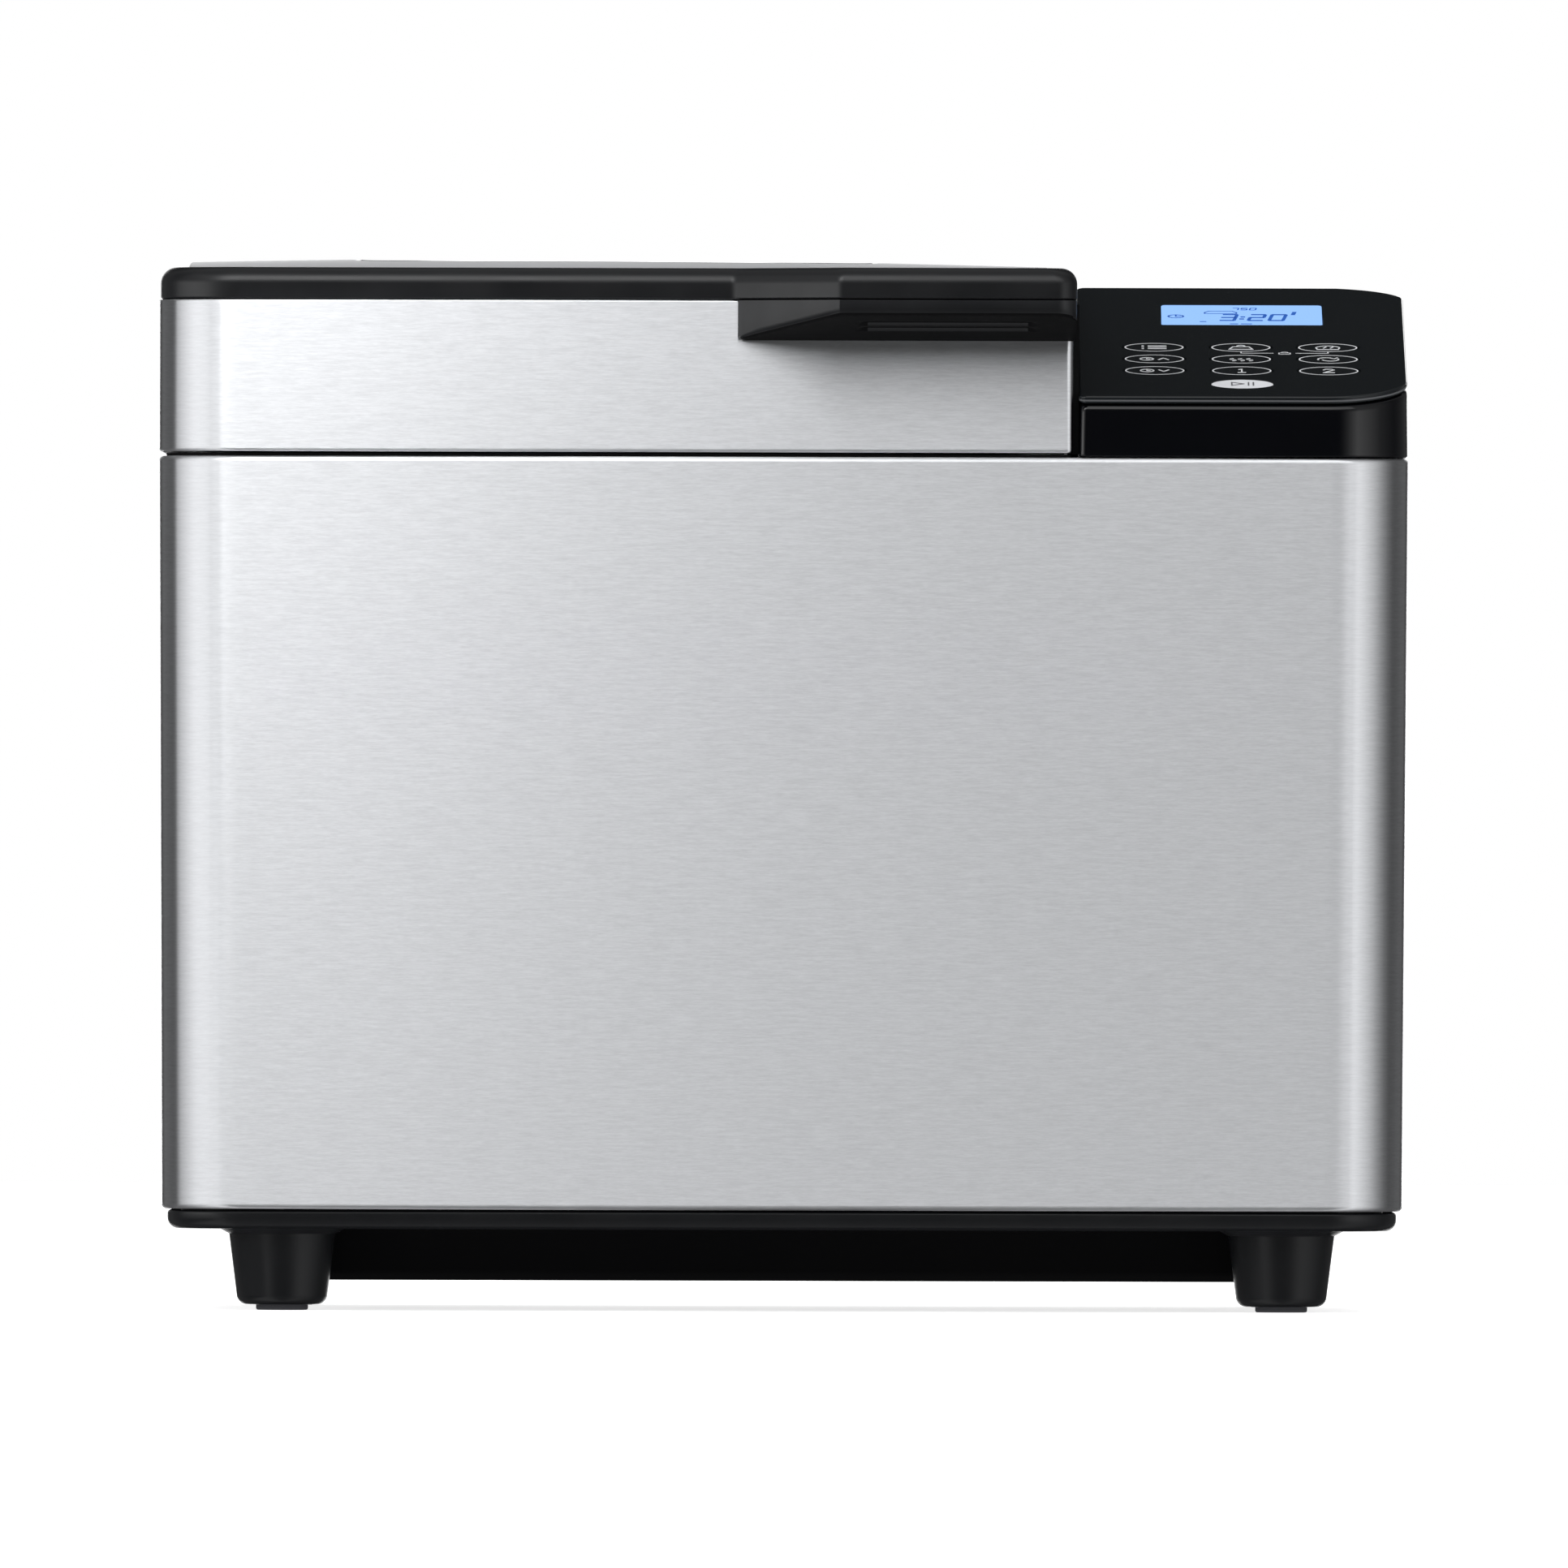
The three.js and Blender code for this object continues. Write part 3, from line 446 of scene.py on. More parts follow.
def zinc_steel(name):
    """Aluminised sheet with a faint spangle."""
    steel = Surface(name, (0.5, 0.51, 0.52), 0.42, 1.0)
    spangle = steel.cells(90)
    steel.tint(steel.span(spangle.outputs["Color"], 0, 1, 0, 1), 0.12)
    steel.polish(spangle.outputs["Distance"], 0.08, 0, 1)
    steel.bump(steel.noise(300), 0.08, 0.1)
    return steel.material


def satin_plastic(name, color, roughness, specular):
    """Moulded plastic with a fine spark-eroded grain."""
    worn = [min(c * 2.4, 1) for c in color]
    grain = {"bump": (0.05, 0.04, 2600, 2), "polish": (0.05, 45), "tint": (0.15, 25, 2), "worn": (worn, 0.5)}
    return grained(name, color, roughness, 0.0, specular, **grain).material


def gloss_plastic(name, color=(0.0068, 0.0084, 0.0096), roughness=0.09, specular=0.3):
    """Polished plastic with faint wipe marks and a little waviness."""
    grain = {"bump": (0.04, 0.2, 35, 1), "polish": (0.035, (60, 14, 30), 4, 0.7), "tint": (0.1, 18, 2)}
    return grained(name, color, roughness, 0.0, specular, **grain).material


def smoked_glass(name):
    glass = grained(name, (0.16, 0.17, 0.18), 0.03, polish=(0.02, 25))
    glass.set("Transmission Weight", 0.9)
    glass.set("IOR", 1.5)
    return glass.material


def non_stick(name):
    """Dark coating with fine light speckles."""
    coating = Surface(name, (0.028, 0.028, 0.031), 0.38, 0.2, 0.5)
    speckle = coating.cells(700)
    dots = coating.span(speckle.outputs["Distance"], 1.0, 0.0, 0.08, 0.22)
    coating.wire(coating.blend(dots, coating.color, (0.16, 0.16, 0.17)), coating.shader.inputs["Base Color"])
    coating.polish(coating.noise(90), 0.08)
    coating.bump(coating.noise(1100, 2), 0.15, 0.05)
    return coating.material


def laminated_core(name):
    core = Surface(name, (0.09, 0.085, 0.085), 0.5, 0.8)
    wave = core.node("ShaderNodeTexWave", bands_direction="Z")
    wave.inputs["Scale"].default_value = 320
    wave.inputs["Distortion"].default_value = 0.4
    core.wire(core.coordinates, wave.inputs["Vector"])
    core.tint(wave.outputs["Fac"], 0.35)
    core.bump(wave.outputs["Fac"], 0.4, 0.1)
    return core.material


def circuit_board(name):
    """Green solder mask over copper tracks."""
    board = Surface(name, (0.012, 0.10, 0.045), 0.35, 0.0, 0.5)
    tracks = board.node("ShaderNodeTexBrick")
    tracks.inputs["Scale"].default_value = 90
    tracks.inputs["Mortar Size"].default_value = 0.06
    tracks.inputs["Color1"].default_value = (0.012, 0.10, 0.045, 1)
    tracks.inputs["Color2"].default_value = (0.014, 0.12, 0.05, 1)
    tracks.inputs["Mortar"].default_value = (0.03, 0.2, 0.09, 1)
    board.wire(board.coordinates, tracks.inputs["Vector"])
    board.wire(tracks.outputs["Color"], board.shader.inputs["Base Color"])
    board.polish(board.noise(100, 2), 0.08)
    return board.material


def nylon(name, color):
    grain = {"bump": (0.12, 0.05, 700, 2), "polish": (0.08, 70, 2), "tint": (0.06, 50)}
    return grained(name, color, 0.5, 0.0, 0.45, **grain).material


def print_ink(name, color, glow=0.0):
    ink = grained(name, color, 0.5, 0.0, 0.3, tint=(0.05, 900, 2))
    ink.set("Emission Color", (*color, 1))
    ink.set("Emission Strength", glow)
    return ink.material


def lit_display(name):
    """A back-lit display: even blue with a faint cell pattern."""
    blue = (0.30, 0.54, 0.99)
    glass = Surface(name, blue, 0.22, 0.0, 0.2)
    cells = glass.node("ShaderNodeTexChecker")
    cells.inputs["Scale"].default_value = 1600
    cells.inputs["Color1"].default_value = (0.295, 0.53, 0.98, 1)
    cells.inputs["Color2"].default_value = (0.31, 0.55, 1.0, 1)
    glass.wire(glass.coordinates, cells.inputs["Vector"])
    glass.wire(cells.outputs["Color"], glass.shader.inputs["Emission Color"])
    glass.polish(glass.noise(50, 2), 0.04)
    glass.set("Base Color", (0.05, 0.08, 0.14, 1))
    glass.set("Emission Strength", 0.95)
    return glass.material


STEEL = brushed_steel("brushed_steel_upright", "Z")
STEEL_TOP = brushed_steel("brushed_steel_top", "Y", anisotropy=0.5, color=(0.66, 0.671, 0.692))
BRIGHT = grained(
    "bright_steel",
    (0.66, 0.67, 0.68),
    0.22,
    1.0,
    bump=(0.1, 0.05, 900, 2),
    polish=(0.08, 120, 4),
    tint=(0.08, 30, 2),
).material
ZINC = zinc_steel("zinc_steel")
# Black stove enamel with an orange-peel surface.
ENAMEL = grained(
    "coated_steel",
    (0.02, 0.02, 0.022),
    0.45,
    bump=(0.25, 0.08, 420, 2),
    polish=(0.08, 40),
    worn=((0.12, 0.12, 0.13), 0.6),
).material
BLACK = satin_plastic("satin_black", (0.0052, 0.0056, 0.0066), 0.34, 0.26)
GLOSS = gloss_plastic("gloss_black")
# A darker copy of the gloss black: the extra darkness on the console is painted shade.
CONSOLE_PAINTED_SHADE = gloss_plastic("console_black_painted_shade", (0.0016, 0.0018, 0.0026), 0.13, 0.26)
KEY_BLACK = gloss_plastic("key_black", roughness=0.16)
# Grey gloss for the panel's edge trim: a real edge, and its light grey is a painted highlight along it.
PANEL_EDGE_HIGHLIGHT = gloss_plastic("panel_trim_painted_highlight", (0.075, 0.078, 0.083), 0.3)
# Near-black plastic that paints shade: it goes under the machine, into the seams and under the grip, where shade
# falls.
PAINTED_SHADE = satin_plastic("painted_shade_black", (0.002, 0.002, 0.0023), 0.6, 0.05)
KEY_WHITE = nylon("key_white", (0.62, 0.63, 0.66))
RUBBER = grained(
    "rubber", (0.045, 0.046, 0.052), 0.78, 0.0, 0.3, bump=(0.3, 0.06, 1400), polish=(0.1, 80), tint=(0.2, 60)
).material
GLASS = smoked_glass("smoked_glass")
COATING = non_stick("non_stick")
CAST = grained(
    "cast_aluminium",
    (0.55, 0.56, 0.57),
    0.5,
    1.0,
    bump=(0.3, 0.12, 650, 4),
    polish=(0.12, 60),
    tint=(0.15, 140),
).material
CORE = laminated_core("motor_core")
BOARD = circuit_board("circuit_board")
NYLON = nylon("nylon", (0.7, 0.68, 0.62))
DISPLAY = lit_display("display")
WHITE_INK = print_ink("white_ink", (0.62, 0.63, 0.65))
GREY_INK = print_ink("grey_ink", (0.10, 0.10, 0.11))
SEGMENT_INK = print_ink("segment_ink", (0.006, 0.085, 0.40), 0.2)

# The CAD nodes that stay as they are, by record slot.
CARRIED = {
    "bright_steel": BRIGHT,
    "zinc_steel": ZINC,
    "dark_steel": ENAMEL,
    "black_plastic": BLACK,
    "gloss_black": GLOSS,
    "key_white": KEY_WHITE,
    "display": DISPLAY,
    "rubber": RUBBER,
    "smoked_glass": GLASS,
    "non_stick": COATING,
    "cast_aluminium": CAST,
    "motor_core": CORE,
    "circuit_board": BOARD,
    "nylon": NYLON,
    "brushed_steel": STEEL,
}


def dress_carried_nodes():
    slots = {s["node"]: s["material_slot"] for s in frame["record"]["subparts"]}
    for name, node in frame["nodes"].items():
        node.data.materials.clear()
        node.data.materials.append(CARRIED[slots[name]])


# ---------------------------------------------------------------- base


def make_feet():
    """Tapered feet. The back ones are a little slimmer, so they hide behind the front ones."""
    draft, corner, collar, into_tray = 2.2 * MM, 3 * MM, 3 * MM, 0.4 * MM
    recess, recess_depth = 7.8 * MM, 1.8 * MM
    groove = [(0, 0.0), (2 * MM, 0.0), (2.4 * MM, 0.5 * MM), (3.2 * MM, 0.5 * MM), (3.6 * MM, 0.0)]
    pad_edge = 0.6 * MM
    for end, grow in (("front", 0.4 * MM), ("back", -1.2 * MM)):
        for side in ("left", "right"):
            low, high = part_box(f"foot_{end}_{side}")
            place = ((low.x + high.x) / 2, (low.y + high.y) / 2, 0)
            top = (high.x - low.x) / 2 + grow
            bottom = top - draft
            profile = (
                [(0, low.z + recess_depth), (recess, low.z + recess_depth), (recess, low.z)]
                + arc(bottom - corner, low.z + corner, corner, 270, 353, 8)
                + [(top, high.z - 1.2 * MM), (top + collar, high.z + into_tray), (0, high.z + into_tray)]
            )
            foot = lathe(f"moulded_foot_{end}_{side}", profile, place)
            dress(foot, BLACK, replaces=[f"foot_{end}_{side}"])
            pad_low, pad_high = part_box(f"foot_pad_{end}_{side}")
            r = (pad_high.x - pad_low.x) / 2
            profile = groove + arc(r - pad_edge, pad_edge, pad_edge, 270, 360, 4)
            profile += [(r, pad_high.z), (0, pad_high.z)]
            pad = lathe(f"rubber_pad_{end}_{side}", profile, place, steps=40)
            dress(pad, RUBBER, replaces=[f"foot_pad_{end}_{side}"])


def make_base():
    low, high = TRAY
    lip = SHELL[0].z - 0.4 * MM

    def outline(inset):
        x, y = high.x - inset, (high.y - low.y) / 2 - inset
        return centred(x, y, CORNER - 2 * MM - inset, 0, MIDDLE_Y, 16)

    wall = 11 * MM
    floor = low.z + 2.5 * MM
    r = 3.2 * MM
    profile = (
        [(wall, low.z)]
        + arc(r, low.z + r, r, 270, 180, 6)
        + arc(0.8 * MM, lip - 0.8 * MM, 0.8 * MM, 180, 90, 3)
        + [(4 * MM, lip), (4 * MM, lip + 8 * MM), (6 * MM, lip + 8 * MM), (6 * MM, floor), (wall, floor)]
    )
    tray = loft("moulded_base_tray", stack(outline, profile))
    carve(tray, block(-138 * MM, 138 * MM, -52 * MM, 72 * MM, low.z - 1 * MM, low.z + 9 * MM))
    dress(tray, BLACK, replaces=["base_tray"])

    low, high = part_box("bottom_cover")
    half_x, half_y = high.x, (high.y - low.y) / 2
    r = 3 * MM
    profile = [(20 * MM, low.z)] + arc(r, low.z + r, r, 270, 180, 6) + [(0, high.z), (2 * MM, high.z)]
    profile += [(2 * MM, low.z + 4.5 * MM), (20 * MM, low.z + 2.2 * MM)]

    def cover_outline(inset):
        return centred(half_x - inset, half_y - inset, 22 * MM - inset, 0, MIDDLE_Y)

    cover = loft("moulded_bottom_cover", stack(cover_outline, profile))
    for x in range(-110, 111, 20):
        y0, y1 = MIDDLE_Y - 30 * MM, MIDDLE_Y + 30 * MM
        carve(cover, block((x - 2) * MM, (x + 2) * MM, y0, y1, low.z - 1 * MM, low.z + 5 * MM))
    # The bottom cover is dressed in painted shade: its near-black stands in for the shade under the machine.
    dress(cover, PAINTED_SHADE, replaces=["bottom_cover"])


# ---------------------------------------------------------------- steel housing


def make_housing():
    low, high = SHELL
    roll = 1.5 * MM
    inner = 2.4 * MM

    def outline(inset):
        half_x, half_y = high.x - inset, (high.y - low.y) / 2 - inset
        return centred(half_x, half_y, CORNER - inset, 0, MIDDLE_Y, 20)

    profile = (
        arc(roll, low.z + roll, roll, 270, 180, 5)
        + arc(roll, high.z - roll, roll, 180, 90, 5)
        + [(inner, high.z - 0.4 * MM), (inner, low.z + 0.4 * MM)]
    )
    rings = tapered(stack(outline, profile), low.z, high.z, FOOT_TAPER, 0, MIDDLE_Y)
    shell = loft("steel_wrap", rings, closed=True)
    window = prism("cutter", centred(140 * MM, 93.5 * MM, 6 * MM), -12 * MM, 12 * MM)
    window.data.transform(Matrix.Translation((0, BACK, 138.5 * MM)) @ Z_TO_Y.inverted())
    carve(shell, window)
    dress(shell, STEEL, replaces=["housing_shell"])

    low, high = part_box("top_deck")

    def deck_outline(inset):
        return centred(high.x - inset, (high.y - low.y) / 2 - inset, CORNER - inset, 0, MIDDLE_Y, 16)

    edge, bevel = 1.0 * MM, 0.6 * MM
    profile = [(edge, low.z), (edge, high.z - bevel), (edge + bevel, high.z)]
    deck = loft("moulded_deck", stack(deck_outline, profile))
    half_x = (CHAMBER[1].x - CHAMBER[0].x) / 2 - 4 * MM
    half_y = (CHAMBER[1].y - CHAMBER[0].y) / 2 - 4 * MM
    hole = prism("cutter", centred(half_x, half_y, 19 * MM, OVEN_X, MIDDLE_Y), low.z - MM, high.z + MM)
    bay = prism("cutter", rounded(100 * MM, -60 * MM, 166 * MM, 80 * MM, 6 * MM), low.z - MM, high.z + MM)
    carve(deck, hole, bay)
    dress(deck, BLACK, replaces=["top_deck"])

    # A thin near-black strip round the deck closes the seam under the lid to the eye: painted shade in the seam.
    bottom, top = high.z - 0.3 * MM, high.z + 1.1 * MM
    outside, inside = 2.2 * MM, 4.2 * MM

    def strip_outline(inset):
        left, right = LID[0].x + inset, LID[1].x + SLOT_SHADE_REACH - inset
        corner = CORNER - inset
        return rounded(left, FRONT + inset, right, LID[1].y - inset, [corner, MM, MM, corner], 16)

    profile = [(outside, bottom), (outside, top), (inside, top), (inside, bottom)]
    strip = loft("deck_seam_painted_shade", stack(strip_outline, profile), closed=True)
    dress(strip, PAINTED_SHADE, weighted=False)


def make_back():
    low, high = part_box("cord_gland")
    x, z = (low.x + high.x) / 2, (low.z + high.z) / 2
    length = high.y - low.y
    profile = (
        [(3.6 * MM, 0), (5.6 * MM, 0), (5.6 * MM, 4.3 * MM)]
        + arc(9.2 * MM, 5.1 * MM, 0.8 * MM, -90, 90, 4)
        + [(8.2 * MM, 6.5 * MM), (6.8 * MM, 8.6 * MM), (6.4 * MM, length - 0.6 * MM), (5.8 * MM, length)]
        + [(3.6 * MM, length)]
    )
    gland = loft("moulded_cord_gland", stack(lambda r: circle(r, 40), profile), closed=True)
    gland.data.transform(Matrix.Translation((x, low.y, z)) @ Z_TO_Y)
    dress(gland, RUBBER, replaces=["cord_gland"])

    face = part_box("back_panel")[1].y
    side, low_row, high_row = 134 * MM, 54 * MM, 223 * MM
    profile = [(0, 0), (3.3 * MM, 0), (3.3 * MM, 0.6 * MM), (2.6 * MM, 1.4 * MM), (0, 1.9 * MM)]
    places = [(x, z) for z in (low_row, high_row) for x in (-side, side)] + [(0, low_row), (0, high_row)]
    for i, (x, z) in enumerate(places):
        head = lathe(f"back_screw_{i}", profile, (x, face - 0.05 * MM, z), "Y", 32)
        turn = Matrix.Rotation(math.radians(37 * i), 4, "Y")
        for angle in (0, 90):
            bar = block(-2 * MM, 2 * MM, -0.4 * MM, 0.4 * MM, 0.9 * MM, 3 * MM)
            bar.data.transform(Z_TO_Y @ Matrix.Rotation(math.radians(angle), 4, "Z"))
            bar.data.transform(Matrix.Translation((x, face, z)) @ turn)
            carve(head, bar)
        dress(head, BRIGHT)


# ---------------------------------------------------------------- oven and pan


def make_chamber():
    low, high = CHAMBER
    half_x, half_y = (high.x - low.x) / 2 - 5 * MM, (high.y - low.y) / 2 - 5 * MM

    def outline(inset):
        return centred(half_x - inset, half_y - inset, max(18 * MM - inset, 6 * MM), OVEN_X, MIDDLE_Y, 14)

    wall = 1.2 * MM
    r = 9 * MM
    profile = (
        [(40 * MM, low.z)]
        + arc(r, low.z + r, r, 270, 180, 6)
        + [(0, high.z - 0.9 * MM), (-4.6 * MM, high.z - 0.9 * MM), (-4.9 * MM, high.z - 0.4 * MM)]
        + [(-4.6 * MM, high.z)]
        + arc(wall - 1.6 * MM, high.z - 1.6 * MM, 1.6 * MM, 90, 0, 5)
        + arc(wall + r, low.z + wall + r, r, 180, 270, 6)
        + [(40 * MM, low.z + wall)]
    )
    chamber = loft("pressed_chamber", stack(outline, profile))
    dress(chamber, ZINC, replaces=["oven_chamber"])

    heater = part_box("heating_element")
    z = (heater[0].z + heater[1].z) / 2
    radius = 3.1 * MM
    left, right = heater[0].x + 3.3 * MM, OVEN_X + 105.5 * MM
    near, far = heater[0].y + 3.4 * MM, heater[1].y - 3.4 * MM
    lead = 16 * MM
    exit_x = heater[1].x - 2 * MM
    points = [
        (exit_x, MIDDLE_Y - lead, z),
        (right, MIDDLE_Y - lead, z),
        (right, near, z),
        (left, near, z),
        (left, far, z),
        (right, far, z),
        (right, MIDDLE_Y + lead, z),
        (exit_x, MIDDLE_Y + lead, z),
    ]
    element = pipe("tubular_heater", points, radius, 14 * MM, 16)
    dress(element, ENAMEL, replaces=["heating_element"], weighted=False)

    low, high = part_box("temperature_probe")
    x, zc = (low.x + high.x) / 2, (low.z + high.z) / 2
    r, collar = 3.2 * MM, 6 * MM
    profile = arc(0, r, r, 270, 360, 6) + [(r, 11.6 * MM), (collar, 11.6 * MM), (collar, 13.6 * MM)]
    profile += [(collar - 0.4 * MM, 14 * MM), (r, 14 * MM), (r, 20 * MM), (0, 20 * MM)]
    probe = lathe("probe_tube", profile, (x, low.y, zc), "Y", 32)
    dress(probe, BRIGHT, replaces=["temperature_probe"])


def make_pan():
    low, high = PAN
    rim = 233 * MM
    share = 0.93
    wall = 1.5 * MM
    half_x, half_y = (high.x - low.x) / 2 - 4 * MM, (high.y - low.y) / 2 - 4 * MM

    def outline(inset):
        return centred(half_x - inset, half_y - inset, max(24 * MM - inset, 8 * MM), OVEN_X, MIDDLE_Y, 14)

    r = 8 * MM
    profile = (
        [(45 * MM, low.z)]
        + arc(r, low.z + r, r, 270, 180, 6)
        + [(0, rim - 2.4 * MM), (-3.2 * MM, rim - 2.2 * MM)]
        + arc(-3 * MM, rim - 1.1 * MM, 1.1 * MM, 240, 90, 6)
        + arc(wall - 1.8 * MM, rim - 1.8 * MM, 1.8 * MM, 90, 0, 5)
        + arc(wall + r, low.z + wall + r, r, 180, 270, 6)
        + [(45 * MM, low.z + wall)]
    )
    rings = tapered(stack(outline, profile), low.z, rim, share, OVEN_X, MIDDLE_Y)
    body = loft("pan_body", rings)
    lugs = []
    pivot = (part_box("pan_handle")[0].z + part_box("pan_handle")[1].z) / 2
    for side in (-1, 1):
        ear = rounded(-7 * MM, rim - 3 * MM, 7 * MM, rim + 8 * MM, [0, 0, 5.4 * MM, 5.4 * MM])
        lug = prism("lug", ear, -1.25 * MM, 1.25 * MM, 0.3 * MM)
        eye = prism("cutter", circle(2.6 * MM, 32, 0, pivot), -3 * MM, 3 * MM)
        carve(lug, eye)
        lug.data.transform(Matrix.Translation((OVEN_X + side * 93.8 * MM, MIDDLE_Y, 0)) @ UPRIGHT)
        lugs.append(lug)
    pan = join("coated_pan", [body, *lugs])
    dress(pan, COATING, replaces=["bread_pan"])

    low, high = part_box("pan_handle")
    end = (high.x - low.x) / 2
    arm = 86.8 * MM
    reach = low.y + 2.2 * MM
    z = (low.z + high.z) / 2
    points = [
        (OVEN_X - end, MIDDLE_Y, z),
        (OVEN_X - arm, MIDDLE_Y, z),
        (OVEN_X - arm, reach, z),
        (OVEN_X + arm, reach, z),
        (OVEN_X + arm, MIDDLE_Y, z),
        (OVEN_X + end, MIDDLE_Y, z),
    ]
    bail = pipe("wire_bail", points, 2.1 * MM, 6 * MM, 16)
    dress(bail, BRIGHT, "pan_handle", ["pan_handle"], weighted=False)

    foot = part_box("kneading_paddle")[0].z
    hub = lathe(
        "hub",
        [(4.3 * MM, foot), (7.4 * MM, foot), (8 * MM, foot + MM), (7.4 * MM, foot + 17 * MM)]
        + arc(4.4 * MM, foot + 17 * MM, 3 * MM, 0, 90, 5)
        + [(0, foot + 20 * MM)],
        (OVEN_X, MIDDLE_Y, 0),
        steps=40,
    )
    # The blade's side view in millimetres from the hub's foot, drawn in a little at both faces.
    shape = [(4, 0.6), (49, 0.6), (51.5, 3), (51.5, 6), (48, 14), (40, 20), (30, 24), (18, 26.2), (4, 25.6)]
    cx, cz = 27, 13
    rings = []
    for inset, y in ((0.8, -2), (0.1, -1.2), (0.0, 0), (0.1, 1.2), (0.8, 2)):
        k = 1 - inset / 26
        outline = [((cx + (x - cx) * k) * MM, (cz + (z - cz) * k) * MM) for x, z in shape]
        rings.append([(OVEN_X + x, MIDDLE_Y + y * MM, foot + z) for x, z in outline])
    paddle = join("coated_paddle", [hub, loft("blade", rings)])
    dress(paddle, COATING, "kneading_drive", ["kneading_paddle"])


# ---------------------------------------------------------------- lid


def lid_outline(inset, steps=16):
    low, high = LID
    small = max(2 * MM - inset, 0.3 * MM)
    large = max(CORNER - inset, 1 * MM)
    right = high.x + 0.6 * MM
    corners = [large, small, small, large]
    return rounded(low.x + inset, low.y + inset, right - inset, high.y - inset, corners, steps)


GRIP_LEFT = -14.5 * MM
GRIP_SHOULDER = 15.9 * MM
GRIP_CORNER = 6 * MM
GRIP_NICK = 2.4 * MM


def rim_outline(inset):
    """The lid's outline, which swells forward at the right into the grip."""
    low, high = RIM
    left, right = low.x + inset, high.x - inset
    nose, face = low.y + inset, FRONT + inset
    r = CORNER - inset
    corner = GRIP_CORNER
    swell = 0.35 * inset
    root, shoulder = GRIP_LEFT + swell, GRIP_SHOULDER + swell
    points = [(left + r, face), (root - 1.2 * MM, face), (root + MM, face - 0.8 * MM)]
    points += [(shoulder - MM, nose + 0.8 * MM), (shoulder + 1.2 * MM, nose)]
    points += arc(right - corner, nose + corner, corner, -90, 0, 10)
    points += [(right, high.y - inset - MM), (right - MM, high.y - inset)]
    points += arc(left + r, high.y - inset - r, r, 90, 180, 16)
    return points + arc(left + r, face + r, r, 180, 270, 16)


PLATE_LOW, PLATE_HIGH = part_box("lid_top_plate")


def plate_outline(inset, steps=10):
    x0, y0, x1, y1 = PLATE_LOW.x + inset, PLATE_LOW.y + inset, PLATE_HIGH.x - inset, PLATE_HIGH.y - inset
    return rounded(x0, y0, x1, y1, max(15 * MM - inset, 4 * MM), steps)


ARCH_BASE = 299.9 * MM
ARCH_RISE = 4.1 * MM
ARCH_CREST = -75 * MM


def arch(x, y):
    """How far the lid's plate rises over its front edge: most over its crest, less towards its sides."""
    v = (2 * y - PLATE_LOW.y - PLATE_HIGH.y) / (PLATE_HIGH.y - PLATE_LOW.y)
    end, fall = (PLATE_LOW.x, 1.25 * MM) if x < ARCH_CREST else (PLATE_HIGH.x, 2.2 * MM)
    u = (x - ARCH_CREST) / (end - ARCH_CREST)
    return (ARCH_RISE - fall * u * u) * max(0.0, 1 - v * v)


def window_outline(inset, steps=10):
    low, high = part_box("window_seal")
    grow = 0.3 * MM - inset
    return rounded(low.x - grow, low.y - grow, high.x + grow, high.y + grow, 14 * MM - inset, steps)


def even_ring(points, count):
    """A ring with its points spread evenly along its length, starting at the front left."""
    loop = [Vector(p) for p in points] + [Vector(points[0])]
    lengths = [0.0]
    for a, b in zip(loop, loop[1:]):
        lengths.append(lengths[-1] + (b - a).length)
    ring = []
    k = 0
    for i in range(count):
        along = lengths[-1] * i / count
        while lengths[k + 1] < along:
            k += 1
        span = max(lengths[k + 1] - lengths[k], 1e-9)
        ring.append(loop[k].lerp(loop[k + 1], (along - lengths[k]) / span))
    return ring


def make_lid_band():
    low, high = LID
    roll = 1.0 * MM
    profile = (
        arc(roll, low.z + roll, roll, 270, 180, 4)
        + arc(0.5 * MM, high.z - 0.5 * MM, 0.5 * MM, 180, 90, 3)
        + [(1.3 * MM, high.z), (1.3 * MM, low.z + 0.3 * MM)]
    )
    band = loft("steel_lid_band", stack(lambda inset: lid_outline(inset, 20), profile), closed=True)
    dress(band, STEEL, "lid", ["lid_band"])

    # A soft near-black strip on the lid's right side closes the slot beside the console: painted shade in the
    # slot.
    x0, x1, y0, y1 = high.x - 0.3 * MM, high.x + SLOT_SHADE_REACH, low.y + 5 * MM, high.y - 6 * MM
    side = block(x0, x1, y0, y1, low.z - 0.3 * MM, high.z - MM)
    side.name = "lid_slot_painted_shade"
    dress(side, PAINTED_SHADE, "lid", weighted=False)


def make_lid_rim():
    low, high = RIM
    top = high.z
    soft = 4.6 * MM
    profile = (
        arc(0.5 * MM, low.z + 0.5 * MM, 0.5 * MM, 270, 180, 3)
        + arc(soft, top - soft, soft, 180, 90, 10)
        + [(soft + MM, top)]
    )
    rim = loft("moulded_rim", stack(rim_outline, profile))
    grow = 0.3 * MM
    recess = prism("cutter", plate_outline(-grow), 297 * MM, top + MM)
    through = prism("cutter", plate_outline(8 * MM), low.z - MM, 298 * MM)
    carve(rim, recess, through)
    dress(rim, BLACK, "lid", ["lid_rim"])


def arched(rings):
    """Lifts each ring's points by the plate's arch."""
    return [[(x, y, z + arch(x, y)) for x, y, z in ring] for ring in rings]


